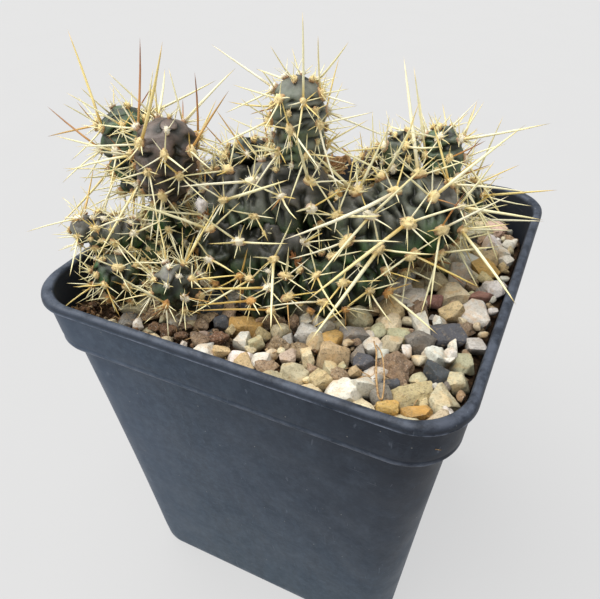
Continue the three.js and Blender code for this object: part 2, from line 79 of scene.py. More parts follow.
# Name, base and tip of the axis, half-width, turn, areole spacing, share of purple, share of brown spines,
# strength of the pale bloom and its painted sheen, darkness of the shaded foot.
STEMS = [
    ("right_large_stem", (4.7, -6.7, 93), (28.2, 14.5, 98), 9.1, 0.15, 6.4, 0.3, 0.05, 1.5, 0),
    ("centre_upper_stem", (-23, -8.1, 98), (5.8, -3.5, 104), 7.1, 0, None, 0.54, 0.03, 1.1, 0.5),
    ("centre_lower_stem", (-20.5, -15.9, 90), (5, -5.7, 91.5), 7.4, 0.55, None, 0.3, 0.1, 0.25, 0.68),
    ("upright_stem", (-2.5, -1.7, 106), (-1.9, -4.4, 127), 5, 0.15, None, 0.5, 0.06, 4.6, 0),
    ("upper_left_front_stem", (-31.6, -11.5, 98), (-26.2, -13.4, 117.1), 6.2, 0.75, None, 0.85, 0.16, 1.1, 0),
    ("upper_left_back_stem", (-39.2, -8.2, 96), (-42.9, -7.8, 116.5), 6, 0, None, 0.2, 0.16, 1.3, 0),
    ("left_lower_stem", (-32.1, -8.9, 80), (-30, -13.9, 98.5), 5.4, 0, None, 0.2, 0.1, 1, 0),
    ("left_outer_stem", (-30.8, -20.5, 94), (-44.2, -28.2, 97), 3.5, 0, None, 0.45, 0.05, 1.2, 0),
    ("left_middle_stem", (-27.8, -17.8, 88), (-35.8, -23.8, 91), 3.1, 0, None, 0.1, 0.05, 1, 0),
    ("left_corner_stem", (-30.7, -25.7, 83), (-35.3, -31.3, 92), 4.4, 0.15, None, 0.15, 0, 1, 0),
    ("left_front_stem", (-19.4, -22.9, 83), (-18.2, -31, 93), 4.5, 0.75, 4, 0.55, 0, 2.6, 0),
    ("front_right_low_stem", (4.1, -16.3, 87), (18.3, -2.3, 88.5), 6.2, 0.75, None, 0.05, 0.1, 0.4, 0.4),
    ("front_low_stem", (-7.1, -20.1, 85), (3.5, -15.1, 86.5), 5.5, 0.75, 4.6, 0.05, 0.15, 0.4, 0.45),
    ("back_left_stem", (-15, -0.2, 101.5), (-17.1, 1, 110.5), 4.9, 0, None, 0.4, 0.1, 1, 0),
    ("back_right_outer_stem", (22.9, 15.1, 101), (21.9, 19.3, 113), 4.4, 0, None, 0.1, 0.1, 1.8, 0),
    ("back_right_inner_stem", (15.3, 11.5, 102), (13.4, 15.1, 112), 4, 0, None, 0.3, 0.05, 1.8, 0),
    ("back_small_stem", (9.4, 11, 101), (8.6, 13, 108.5), 2.6, 0, None, 0.6, 0.05, 1, 0),
    ("right_end_stem", (22.7, 17.2, 94.5), (30.9, 26.4, 95.5), 4, 0, None, 0.3, 0, 1, 0),
]
# Two segments that have grown into one body, so that the seam between them is shallow.
JOINED = ("centre_upper_stem", "centre_lower_stem")
JOINT_REACH = 5.5
ROOTED = ("left_lower_stem", "left_corner_stem", "left_front_stem", "front_right_low_stem", "front_low_stem")

# Numbers


def seeded(name):
    """A generator of draws that belong to one name."""
    return np.random.RandomState(zlib.crc32(name.encode()) % 2**31)


def value_noise(points, size, seed):
    """Smooth noise from 0 to 1 with lumps of that size."""
    cell = np.floor(points / size).astype(np.int64)
    part = points / size - cell
    part = part * part * (3 - 2 * part)
    total = np.zeros(len(points))
    for corner in np.ndindex(2, 2, 2):
        place = cell + corner
        mixed = place[:, 0] * 73856093 ^ place[:, 1] * 19349663 ^ place[:, 2] * 83492791 ^ (seed * 7919)
        mixed = (mixed ^ (mixed >> 13)) * 1274126177
        mixed = (mixed ^ (mixed >> 16)) & 0xFFFF
        total += np.prod(np.where(np.array(corner) == 1, part, 1 - part), axis=1) * mixed / 65535
    return total


def bumps(points, seed, *layers):
    """Noise around 0 from (size of the lumps, height) pairs."""
    layers = enumerate(layers)
    return sum(height * (value_noise(points, size, seed + k) - 0.5) for k, (size, height) in layers)


def ridges(points, size, seed):
    """Noise from 0 to 1 that is 1 on thin crooked lines."""
    return 1 - np.abs(2 * value_noise(points, size, seed) - 1)


def smooth(x):
    x = np.clip(x, 0, 1)
    return x * x * (3 - 2 * x)


def norm(v):
    return np.linalg.norm(v, axis=-1)


def unit(v):
    v = np.asarray(v, float)
    return v / np.maximum(norm(v), 1e-9)[..., None]


def perpendicular(directions):
    """Two unit vectors across each direction."""
    helper = np.where(np.abs(directions[..., 2:3]) > 0.8, [1.0, 0, 0], [0, 0, 1.0])
    first = unit(np.cross(helper, directions))
    return first, np.cross(directions, first)


def linear(red, green, blue):
    """A colour given in display values from 0 to 255, as the shader wants it."""
    display = (c / 255 for c in (red, green, blue))
    return tuple(((c + 0.055) / 1.055) ** 2.4 if c > 0.04 else c / 12.92 for c in display)


# Meshes


def link(name, data):
    """A new object in the scene."""
    thing = bpy.data.objects.new(name, data)
    bpy.context.scene.collection.objects.link(thing)
    return thing


def aim(thing, place, right, up, back):
    thing.matrix_world = Matrix.Translation(place) @ Matrix((right, up, back)).transposed().to_4x4()


def new_mesh(name, points, groups, material):
    """A smooth mesh from points in millimetres and groups of faces."""
    mesh = bpy.data.meshes.new(name)
    polygons = [face for group in groups for face in group.tolist()]
    mesh.from_pydata((np.asarray(points, float) * MM).tolist(), [], polygons)
    mesh.shade_smooth()
    mesh.materials.append(material)
    return mesh


def make_piece(name, points, groups, material, nodes=(), values=None, colors=None, sharp=None):
    """A mesh piece that rides on the part, with its named point values and colours for the shader."""
    mesh = new_mesh(name, points, groups, material)
    if sharp:
        mesh.set_sharp_from_angle(angle=sharp)
    for key, value in (values or {}).items():
        mesh.attributes.new(key, "FLOAT", "POINT").data.foreach_set("value", np.asarray(value, np.float32))
    if colors is not None:
        rgba = np.c_[colors, np.ones(len(colors))].astype(np.float32)
        mesh.color_attributes.new("tint", "FLOAT_COLOR", "POINT").data.foreach_set("color", rgba.ravel())
    piece = link(name, mesh)
    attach(piece, "root")
    if nodes:
        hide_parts(*nodes)


class Pile:
    """Many small closed meshes gathered into one piece."""

    def __init__(self):
        self.points = []
        self.faces = {}
        self.values = {}
        self.colors = []
        self.count = 0

    def add(self, points, faces, color=None, **values):
        self.points.append(points)
        for group in faces if isinstance(faces, list) else [faces]:
            self.faces.setdefault(group.shape[1], []).append(group + self.count)
        for key, value in values.items():
            self.values.setdefault(key, []).append(np.broadcast_to(value, len(points)))
        if color is not None:
            self.colors.append(np.broadcast_to(color, (len(points), 3)))
        self.count += len(points)

    def add_hairs(self, starts, ends, width, tones):
        """Thin three-sided needles, each of its own colour."""
        points, faces, _, per = cones(starts, ends, np.full(len(starts), width), 3, taper=((0, 1),))
        self.add(points, faces, np.repeat(tones, per, axis=0))

    def piece(self, name, material, slot, nodes=(), sharp=None):
        groups = [np.concatenate(group) for group in self.faces.values()]
        values = {key: np.concatenate(value) for key, value in self.values.items()}
        colors = np.concatenate(self.colors) if self.colors else None
        make_piece(name, np.concatenate(self.points), groups, material, nodes, values, colors, sharp)


def grid_faces(rings, count, closed=True):
    """Quads between rings of equal point count."""
    i, j = np.meshgrid(np.arange(rings - 1), np.arange(count if closed else count - 1), indexing="ij")
    k = (j + 1) % count
    corners = i * count + j, i * count + k, (i + 1) * count + k, (i + 1) * count + j
    return np.stack(corners, -1).reshape(-1, 4)


def fan(middle, first, count, turned=False):
    """Triangles from one point to the ring of points that begins at the first one."""
    j = first + np.arange(count)
    k = np.roll(j, -1)
    return np.stack([np.full(count, middle), *((k, j) if turned else (j, k))], 1)


# How the half-width of a needle shrinks: share of the length, share of the width.
TAPER = ((0, 1), (0.3, 0.94), (0.62, 0.74), (0.86, 0.4))


def cones(starts, ends, widths, sides, taper=TAPER, bends=0.0):
    """Tapered closed needles in one mesh, with how far along each point lies and the points per needle."""
    count, way = len(starts), ends - starts
    u, v = perpendicular(unit(way))
    angle = math.tau * np.arange(sides)[:, None] / sides
    around = u[:, None] * np.cos(angle) + v[:, None] * np.sin(angle)
    rings = []
    for share, size in taper:
        middle = starts + way * share + bends * (4 * share * (1 - share))
        rings.append(middle[:, None] + around * (widths * size)[:, None, None])
    points = np.concatenate([*rings, ends[:, None]], 1)
    per = points.shape[1]
    foot = np.stack([np.zeros(sides - 2, int), np.arange(2, sides), np.arange(1, sides - 1)], 1)
    groups = grid_faces(len(taper), sides), np.concatenate([fan(per - 1, per - 1 - sides, sides), foot])
    offset = (np.arange(count) * per)[:, None, None]
    faces = [(group[None] + offset).reshape(-1, group.shape[1]) for group in groups]
    along = np.append(np.repeat([share for share, _ in taper], sides), 1)
    return points.reshape(-1, 3), faces, np.tile(along, count), per


def tube(line, widths, sides, steps=6):
    """A closed tube of varying width along a smooth line through the given points."""
    line = np.asarray(line, float)
    padded = np.concatenate([[2 * line[0] - line[1]], line, [2 * line[-1] - line[-2]]])
    path = []
    for a, b, c, d in zip(padded, padded[1:], padded[2:], padded[3:]):
        for t in np.arange(steps) / steps:
            bend = (2 * a - 5 * b + 4 * c - d) * t**2 + (3 * b - a - 3 * c + d) * t**3
            path.append(0.5 * (2 * b + (c - a) * t + bend))
    path = np.array([*path, line[-1]])
    widths = np.interp(np.linspace(0, 1, len(path)), np.linspace(0, 1, len(widths)), widths)
    angle = math.tau * np.arange(sides) / sides
    ways = unit(np.gradient(path, axis=0))
    u = perpendicular(ways[0])[0]
    rings = []
    for point, width, way in zip(path, widths, ways):
        u = unit(u - way * np.dot(u, way))
        rings.append(point + width * (np.outer(np.cos(angle), u) + np.outer(np.sin(angle), np.cross(way, u))))
    end = len(path) * sides
    caps = np.concatenate([fan(end, 0, sides, turned=True), fan(end + 1, end - sides, sides)])
    return np.concatenate([*rings, path[[0, -1]]]), [grid_faces(len(path), sides), caps]


@functools.cache
def ball(level):
    """The points and triangles of a unit ball."""
    shape = bmesh.new()
    bmesh.ops.create_icosphere(shape, subdivisions=level + 1, radius=1)
    shape.verts.index_update()
    points = unit([v.co[:] for v in shape.verts])
    faces = np.array([[v.index for v in face.verts] for face in shape.faces])
    shape.free()
    return points, faces


# Shaders


class Shader:
    """A material that is painted layer by layer, with short calls to add nodes."""

    def __init__(self, name, **constants):
        self.material = bpy.data.materials.new(name)
        self.material.use_nodes = True
        self.tree = self.material.node_tree
        self.surface = self.tree.nodes["Principled BSDF"].inputs
        for key, value in constants.items():
            self.surface[key.replace("_", " ")].default_value = value
        self.place = self.add("ShaderNodeTexCoord").outputs["Object"]
        self.paint = None

    def add(self, kind, inputs=None, **settings):
        node = self.tree.nodes.new(kind)
        for key, value in settings.items():
            setattr(node, key, value)
        for key, value in (inputs or {}).items():
            self.set(node.inputs[key], value)
        return node

    def set(self, socket, value):
        if isinstance(value, bpy.types.NodeSocket):
            self.tree.links.new(value, socket)
        elif isinstance(value, tuple) and len(value) == 3 and len(socket.default_value) == 4:
            socket.default_value = (*value, 1)
        else:
            socket.default_value = value

    def noise(self, size, detail=3, rough=0.55, stretch=None, distortion=0):
        """Noise with lumps of that size in millimetres."""
        place = self.place
        if stretch:
            place = self.add("ShaderNodeMapping", {"Vector": place, "Scale": stretch}).outputs["Vector"]
        inputs = {"Vector": place, "Scale": 1 / (size * MM), "Detail": detail, "Roughness": rough}
        return self.add("ShaderNodeTexNoise", {**inputs, "Distortion": distortion}).outputs["Fac"]

    def cells(self, size):
        """How far each place lies from the middle of its cell."""
        inputs = {"Vector": self.place, "Scale": 1 / (size * MM)}
        return self.add("ShaderNodeTexVoronoi", inputs).outputs["Distance"]

    def value(self, name):
        return self.add("ShaderNodeAttribute", attribute_name=name).outputs["Fac"]

    def tint(self):
        return self.add("ShaderNodeAttribute", attribute_name="tint").outputs["Color"]

    def range(self, value, low, high, to_low=0.0, to_high=1.0):
        inputs = {"Value": value, "From Min": low, "From Max": high, "To Min": to_low, "To Max": to_high}
        return self.add("ShaderNodeMapRange", inputs).outputs["Result"]

    def math(self, kind, a, b=0.0):
        return self.add("ShaderNodeMath", {0: a, 1: b}, operation=kind).outputs["Value"]

    def plus(self, a, b):
        return self.math("ADD", a, b)

    def times(self, a, b):
        return self.math("MULTIPLY", a, b)

    def mix(self, share, a, b, blend="MIX"):
        inputs = {"Factor": share, 6: a, 7: b}
        return self.add("ShaderNodeMix", inputs, data_type="RGBA", blend_type=blend).outputs[2]

    def steps(self, value, *stops):
        """A colour ramp through (place, colour) stops."""
        node = self.add("ShaderNodeValToRGB", {"Fac": value})
        ramp = node.color_ramp
        while len(ramp.elements) < len(stops):
            ramp.elements.new(0.5)
        for element, (place, color) in zip(ramp.elements, stops):
            element.position = place
            element.color = (*color, 1)
        return node.outputs["Color"]

    def cover(self, color, share):
        """Lays a colour over the paint."""
        self.paint = self.mix(share, self.paint, color)

    def stain(self, color, value, *limits):
        """Lays a colour over the paint where a value passes from the low to the high limit."""
        self.cover(color, self.range(value, *limits))

    def finish(self, roughness, *heights):
        """The painted material, with bumps from (height value, depth in millimetres) pairs."""
        self.set(self.surface["Base Color"], self.paint)
        self.set(self.surface["Roughness"], roughness)
        inputs = {}
        for height, depth in heights:
            bump = self.add("ShaderNodeBump", {"Height": height, "Distance": depth * MM, **inputs})
            inputs = {"Normal": bump.outputs["Normal"]}
            self.set(self.surface["Normal"], bump.outputs["Normal"])
        return self.material


# Display colours: green, light green, purple, pale purple, bloom with painted sheen.
GREEN_SKIN = (27, 47, 22), (60, 104, 46), (63, 60, 55), (113, 109, 103), (140, 143, 132)
PURPLE_SKIN = (38, 44, 27), (66, 75, 46), (68, 55, 49), (118, 102, 93), (144, 136, 126)
SKIN_DOT = linear(138, 144, 124)
SCURF = linear(124, 98, 66)
FOLD_SHADOW = (0.009, 0.011, 0.006)
FOOT_SHADOW = (0.010, 0.011, 0.006)
MOST_BLOOM_AND_SHEEN = 0.66


def skin_material(name, tones):
    """Waxy skin: green in the folds and low down, purple where the sun reached it, with a pale bloom that is
    partly painted sheen on tops and ridges, and painted shadow in the folds and at the foot.
    """
    shader = Shader(name, Specular_IOR_Level=0.42)
    green, light_green, purple, pale_purple, pale = (linear(*tone) for tone in tones)
    mottle = shader.noise(3.2, 4, 0.6)
    flush = shader.mix(shader.range(shader.noise(2.1, 4, 0.6), 0.35, 0.7), purple, pale_purple)
    shader.paint = green
    shader.stain(light_green, mottle, 0.38, 0.64)
    shader.stain(flush, shader.plus(shader.value("sun"), shader.times(mottle, 0.5)), 0.48, 1.06)
    # The pale bloom is partly a painted sheen, strongest on faces turned up and on ridges.
    bloom = shader.range(shader.noise(4.5, 3, 0.5), 0.4, 0.68, 0.05, 0.32)
    bloom = shader.times(bloom, shader.value("bloom"))
    shader.cover(pale, shader.math("MINIMUM", bloom, MOST_BLOOM_AND_SHEEN))
    shader.stain(SKIN_DOT, shader.cells(0.6), 0.14, 0.26, 0.16, 0.0)
    shader.cover(FOOT_SHADOW, shader.times(shader.value("low"), 0.72))
    scurf = shader.range(shader.noise(1.3, 5, 0.7), 0.64, 0.74, 0.0, 0.45)
    shader.cover(SCURF, shader.times(scurf, shader.value("low")))
    shader.stain(FOLD_SHADOW, shader.value("fold"), 0.12, 0.8, 0.0, 0.92)
    rough = shader.range(shader.noise(1.4), 0.3, 0.7, 0.34, 0.52)
    relief = (shader.noise(0.9, 4, 0.6), 0.1), (shader.noise(0.35, 3, 0.6), 0.04)
    return shader.finish(rough, (shader.value("fold"), -0.3), *relief)


# Display colours along a spine, from its foot to its point: straw, golden and brown ones.
SPINE_TONES = (
    {
        0: (222, 180, 104), 0.08: (242, 222, 150), 0.25: (252, 247, 206), 0.8: (250, 242, 186),
        1: (224, 192, 118),
    },
    {0: (222, 172, 80), 0.3: (240, 214, 124), 0.8: (236, 206, 112), 1: (200, 154, 80)},
    {0: (214, 166, 96), 0.25: (196, 138, 76), 0.65: (156, 100, 60), 1: (120, 78, 56)},
)
BLEACHED = linear(252, 249, 236)
SPINE_STREAK = linear(214, 180, 120)


def spine_material():
    """Straw needles with a warmer foot, some of them golden, some brown towards the point."""
    shader = Shader("spine_straw", Specular_IOR_Level=0.5, Coat_Weight=0.12, Coat_Roughness=0.2)
    along = shader.value("along")
    tone = shader.value("tone")
    straw, gold, brown = (
        shader.steps(along, *((place, linear(*color)) for place, color in stops.items()))
        for stops in SPINE_TONES
    )
    streak = shader.noise(0.5, 3, 0.6)
    shader.paint = straw
    shader.stain(gold, tone, 0.45, 0.62)
    shader.stain(brown, tone, 0.66, 0.95)
    shader.stain(BLEACHED, tone, 0.0, 0.2, 0.5, 0.0)
    shader.stain(SPINE_STREAK, streak, 0.45, 0.75, 0.0, 0.2)
    return shader.finish(shader.range(streak, 0.3, 0.7, 0.32, 0.5), (shader.noise(0.18, 2, 0.5), 0.02))


RUSTY_BRISTLE = linear(170, 116, 60)
PALE_BRISTLE = linear(246, 230, 186)


def wool_material():
    """Matted glochid bristles: buff, rust and near white."""
    shader = Shader("areole_bristle", Specular_IOR_Level=0.2, Sheen_Weight=0.35, Sheen_Roughness=0.6)
    shader.paint = shader.tint()
    shader.stain(RUSTY_BRISTLE, shader.noise(0.22, 3, 0.7), 0.45, 0.72, 0.0, 0.25)
    shader.stain(PALE_BRISTLE, shader.noise(0.12, 2), 0.55, 0.75, 0.0, 0.5)
    return shader.finish(0.9, (shader.noise(0.14, 3, 0.7), 0.12))


DARK_GRAIN = (0.07, 0.055, 0.04)
LIGHT_GRAIN = (0.8, 0.74, 0.62)
RUST = linear(222, 168, 84)
CRACK = (0.14, 0.11, 0.08)
STONE_DUST = linear(206, 182, 146)


def stone_material():
    """Crushed gravel: each stone has its own tint, and values for grain, stain and gloss."""
    shader = Shader("gravel_mix", Specular_IOR_Level=0.4)
    grain, stain = shader.value("grain"), shader.value("stain")
    cloud = shader.noise(2.6, 5, 0.6)
    speck = shader.noise(0.42, 4, 0.7)
    shade = shader.steps(cloud, (0.3, (0.76, 0.74, 0.7)), (0.6, (1.0, 1.0, 1.0)))
    shader.paint = shader.mix(1.0, shader.tint(), shade, "MULTIPLY")
    dark = shader.times(shader.range(speck, 0.5, 0.66), shader.range(grain, 0.0, 1.0, 0.32, 0.95))
    shader.cover(DARK_GRAIN, dark)
    light = shader.range(shader.noise(0.3, 3, 0.6), 0.58, 0.7, 0.0, 0.6)
    shader.cover(LIGHT_GRAIN, shader.times(light, grain))
    rust = shader.range(shader.noise(3.2, 5, 0.6, distortion=0.6), 0.5, 0.62)
    shader.cover(RUST, shader.times(rust, stain))
    crack = shader.math("ABSOLUTE", shader.math("SUBTRACT", cloud, 0.5))
    shader.stain(CRACK, crack, 0.0, 0.008, 0.3, 0.0)
    shader.stain(STONE_DUST, shader.noise(1.1, 5, 0.7), 0.56, 0.7, 0.0, 0.35)
    dull = shader.range(shader.value("gloss"), 0.0, 1.0, 0.9, 0.4)
    rough = shader.times(speck, shader.range(grain, 0.0, 1.0, 0.4, 1.6))
    relief = (cloud, 0.2), (rough, 0.32), (shader.noise(0.16, 3, 0.7), 0.08)
    return shader.finish(shader.plus(dull, shader.range(speck, 0.3, 0.7, -0.06, 0.06)), *relief)


def earth_material(name, dark, light, size=0.8):
    """Crumbly peat and grit."""
    shader = Shader(name, Specular_IOR_Level=0.15)
    crumb = shader.noise(size, 5, 0.7)
    shader.paint = shader.steps(crumb, (0.32, dark), (0.6, light), (0.78, linear(150, 118, 84)))
    return shader.finish(0.95, (crumb, 0.6), (shader.noise(size / 3, 3, 0.7), 0.25))


def dry_material(name, dark, light):
    """Papery, fibrous dead matter."""
    shader = Shader(name, Specular_IOR_Level=0.2)
    fibre = shader.noise(0.5, 5, 0.7, (1, 1, 0.35))
    shader.paint = shader.steps(fibre, (0.3, dark), (0.62, light))
    return shader.finish(0.85, (fibre, 0.2))


# Display colours of the pot: low and left are painted light; corner, lip and inside painted shade; rubbed
# partly a painted highlight.
POT_TONES = {
    "base": (48, 62, 79), "cloud": (58, 73, 91), "low": (49, 69, 82), "streak": (38, 49, 61),
    "mottle": (80, 96, 112), "left": (74, 87, 108), "corner": (8, 20, 36), "lip": (36, 40, 48),
    "dust": (108, 120, 134), "inside": (26, 28, 33), "rubbed_and_highlit": (118, 126, 142), "scratch": (130, 140, 154),
    "speck": (176, 174, 166),
}
# Size across a scratch and its stretch: upright, level and slanting ones.
SCRATCHES = ((0.45, (1, 1, 0.05)), (0.5, (0.06, 0.06, 1)), (0.5, (0.35, 0.35, 0.09)))


def plastic_material():
    """Dark blue-grey moulded plastic with dust, thin scratches, rubbed edges with a painted highlight, and
    painted light and shade.
    """
    shader = Shader("pot_plastic", Specular_IOR_Level=0.25)
    tone = {name: linear(*color) for name, color in POT_TONES.items()}
    x, y, z = shader.add("ShaderNodeSeparateXYZ", {"Vector": shader.place}).outputs
    shader.paint = tone["base"]
    shader.stain(tone["cloud"], shader.noise(26, 4, 0.55), 0.35, 0.68)
    # Painted light: towards its foot the wall turns lighter and greener, as if lit from the floor.
    shader.cover(tone["low"], shader.times(shader.range(z, 0.05, 0.0), 0.7))
    shader.stain(tone["streak"], shader.noise(1.8, 5, 0.65, (1, 1, 0.1)), 0.3, 0.7, 0.0, 0.5)
    shader.stain(tone["mottle"], shader.noise(1.6, 7, 0.8), 0.44, 0.66, 0.0, 0.52)
    # Painted light: the wall is lighter towards the left.
    shader.stain(tone["left"], x, -0.012, -0.045, 0.0, 0.5)
    # Painted shade: the front wall is darker towards its upper right corner, under the collar.
    shade = shader.times(shader.range(x, -0.022, 0.036), shader.range(z, 0.012, 0.074, 0.2, 1.0))
    shader.cover(tone["corner"], shader.times(shade, shader.range(y, -0.030, -0.035, 0.5, 1.0)))
    # Painted shade: the lip and the top of the rim are darker.
    shader.stain(tone["lip"], z, 0.0884, 0.0892, 0.0, 0.75)
    dust = shader.range(shader.noise(5, 7, 0.76), 0.48, 0.8, 0.0, 0.24)
    shader.cover(tone["dust"], dust)
    # Painted shade: the inside of the pot is darker.
    inside = shader.value("inside")
    shader.cover(tone["inside"], shader.times(inside, 0.8))
    # Worn edges with a painted highlight: the edges are lighter where the noise allows.
    rubbed_and_highlit = shader.range(shader.noise(1.8, 4, 0.7, (0.5, 0.5, 1)), 0.38, 0.6)
    shader.cover(tone["rubbed_and_highlit"], shader.times(shader.value("edge"), rubbed_and_highlit))
    lines = (shader.noise(size, 2, 0.4, stretch, 0.4) for size, stretch in SCRATCHES)
    lines = (shader.range(line, 0.74, 0.77) for line in lines)
    scratches = functools.reduce(lambda a, b: shader.math("MAXIMUM", a, b), lines)
    shader.cover(tone["scratch"], shader.times(scratches, 0.16))
    shader.stain(tone["speck"], shader.cells(3.0), 0.03, 0.055, 0.4, 0.0)
    rough = shader.range(shader.noise(9, 4, 0.6), 0.3, 0.7, 0.4, 0.54)
    rough = shader.plus(shader.plus(rough, shader.times(dust, 0.5)), shader.times(inside, 0.2))
    relief = (shader.noise(14, 2, 0.4), 0.2), (shader.noise(0.45, 2, 0.5), 0.014), (scratches, -0.02)
    return shader.finish(rough, *relief)


# Camera, light and floor

CAMERA_PLACE = (48.392, -107.633, 161.088)
CAMERA_RIGHT = (0.90194, 0.43180, -0.00733)
CAMERA_UP = (-0.25363, 0.54335, 0.80028)
CAMERA_BACK = (0.34955, -0.71995, 0.59958)
CAMERA_LENS = 36.234
SKY_COLOR = (0.54, 0.55, 0.57, 1)
SUN_COLOR = (1.0, 0.985, 0.96)
SUN_STRENGTH = 4.0
SUN_WIDTH = 1.25
SUN_FROM = (-0.38, -0.12, 1.0)
FLOOR_HALF = 2500
FLOOR_POINTS = 41
FLOOR_GLOW = 0.585


def make_camera():
    data = bpy.data.cameras.new("camera")
    data.lens = CAMERA_LENS
    data.sensor_width = 36
    data.sensor_fit = "HORIZONTAL"
    data.clip_start = 0.005
    camera = link("camera", data)
    aim(camera, [c * MM for c in CAMERA_PLACE], CAMERA_RIGHT, CAMERA_UP, CAMERA_BACK)
    bpy.context.scene.camera = camera


def make_light():
    world = bpy.data.worlds.new("studio")
    bpy.context.scene.world = world
    world.use_nodes = True
    background = world.node_tree.nodes["Background"].inputs
    background["Color"].default_value = SKY_COLOR
    background["Strength"].default_value = 1.0
    data = bpy.data.lights.new("window", "SUN")
    data.energy = SUN_STRENGTH
    data.color = SUN_COLOR
    data.angle = SUN_WIDTH
    back = unit(SUN_FROM)
    right = unit(np.cross([0, 0, 1], back))
    aim(link("window", data), back, right, np.cross(back, right), back)


def make_floor():
    x, y = np.meshgrid(*[np.linspace(-FLOOR_HALF, FLOOR_HALF, FLOOR_POINTS)] * 2)
    points = np.stack([x, y, np.zeros_like(x)], -1).reshape(-1, 3)
    # The floor glows a little, so that the shadows on it stay pale.
    shader = Shader("table_top", Specular_IOR_Level=0.05, Emission_Strength=FLOOR_GLOW)
    shader.surface["Emission Color"].default_value = (1, 1, 1, 1)
    shader.paint = shader.mix(shader.noise(40, 3), (0.11, 0.11, 0.11), (0.118, 0.118, 0.118))
    faces = grid_faces(FLOOR_POINTS, FLOOR_POINTS, closed=False)
    floor = link("table_top", new_mesh("table_top", points, [faces], shader.finish(0.9)))


# Pot

LIP_HALF = 44.2
LIP_Z = 88.2
CORNER_STEPS = 20
SIDE_STEPS = 14
HOLE_STEPS = 24
WOBBLE = 0.3
WALL_BOW = 0.25


def inner_half(z):
    z = np.asarray(z, float)
    low = BASE_HALF + (BODY_HALF - BASE_HALF) * z / STEP_Z - WALL
    middle = BODY_HALF - WALL + (COLLAR_HALF - BODY_HALF) * (z - STEP_Z) / (COLLAR_Z - STEP_Z)
    share = (z - COLLAR_Z) / (POT_HEIGHT - COLLAR_Z)
    high = COLLAR_HALF - WALL + (RIM_HALF - RIM_WIDTH - COLLAR_HALF + WALL) * share
    return np.where(z <= STEP_Z, low, np.where(z <= COLLAR_Z, middle, high))


def square_ring(half, z):
    """A horizontal square ring with rounded corners and points along its sides."""
    radius = CORNER_RADIUS - (RIM_HALF - half) * CORNER_TAPER
    core = half - radius
    ring = []
    for corner, (sx, sy) in enumerate([(1, 1), (-1, 1), (-1, -1), (1, -1)]):
        for i in range(CORNER_STEPS + 1):
            angle = (corner + i / CORNER_STEPS) * math.pi / 2
            ring.append((sx * core + radius * math.cos(angle), sy * core + radius * math.sin(angle)))
        start = np.array(ring[-1])
        turn = np.array([-math.sin(angle), math.cos(angle)])
        ring += [tuple(start + turn * 2 * core * i / SIDE_STEPS) for i in range(1, SIDE_STEPS)]
    return np.c_[np.array(ring), np.full(len(ring), z)]


def pot_profile():
    """Rows of half-width, height, how far it is an edge, and how far it is inside."""

    def bend(half, z, *steps):
        return [(half + out, z + up, edge, 0) for out, up, edge in steps]

    rows = bend(BASE_HALF, 0, (-1, 0, 0.3), (-0.5, 0.12, 0.5), (-0.12, 0.5, 0.6))
    rows += bend(BASE_HALF, 0, (0.02, 1.1, 0.25), (0.1, 2.2, 0))
    for share in np.linspace(0.06, 0.97, 24):
        bow = -WALL_BOW * math.sin(math.pi * share)
        rows.append((BASE_HALF + (BODY_HALF - BASE_HALF) * share + bow, STEP_Z * share, 0, 0))
    rows += bend(BODY_HALF - 0.02, STEP_Z, (0, -1, 0), (0.12, -0.35, 0), (0.55, -0.05, 0.05))
    rows += bend(COLLAR_HALF, STEP_Z, (-0.55, 0.2, 0.15), (-0.15, 0.5, 0.5))
    rows += bend(COLLAR_HALF, COLLAR_Z, (0.02, -0.1, 0.45), (0, 0.35, 0.25), (-0.06, 0.7, 0), (0.02, 1.1, 0))
    for share in np.linspace(0.2, 0.93, 9):
        rows += bend(COLLAR_HALF, COLLAR_Z, ((LIP_HALF - COLLAR_HALF) * share, (LIP_Z - COLLAR_Z) * share, 0))
    # The lip: a small flange that is round on top, with a fine moulding line along its lower edge.
    rows += bend(LIP_HALF, LIP_Z, (-0.02, -0.25, 0), (0.2, -0.02, 0))
    rows += bend(RIM_HALF, LIP_Z, (-0.3, 0.08, 0.3), (-0.06, 0.18, 1), (-0.02, 0.32, 1), (-0.09, 0.48, 0.2))
    rows += bend(RIM_HALF, POT_HEIGHT, (-0.05, -0.95, 0), (-0.16, -0.5, 0.1), (-0.42, -0.18, 0.25))
    rows += bend(RIM_HALF, POT_HEIGHT, (-0.85, 0, 0.3), (-1.3, -0.02, 0.25), (-1.65, -0.14, 0.35))
    rows.append((RIM_HALF - 1.9, POT_HEIGHT - 0.42, 0.2, 0.5))
    rows.append((RIM_HALF - RIM_WIDTH - 0.02, POT_HEIGHT - 0.95, 0, 1))
    down = (*np.linspace(POT_HEIGHT - 2, COLLAR_Z + 0.5, 9), COLLAR_Z, STEP_Z, 60, 40, 20, FLOOR + 0.6)
    rows += [(float(inner_half(z)), z, 0, 1) for z in down]
    return [*rows, (float(inner_half(FLOOR)) - 0.5, FLOOR, 0, 1)]


def following(loop):
    return loop[1:] + loop[:1]


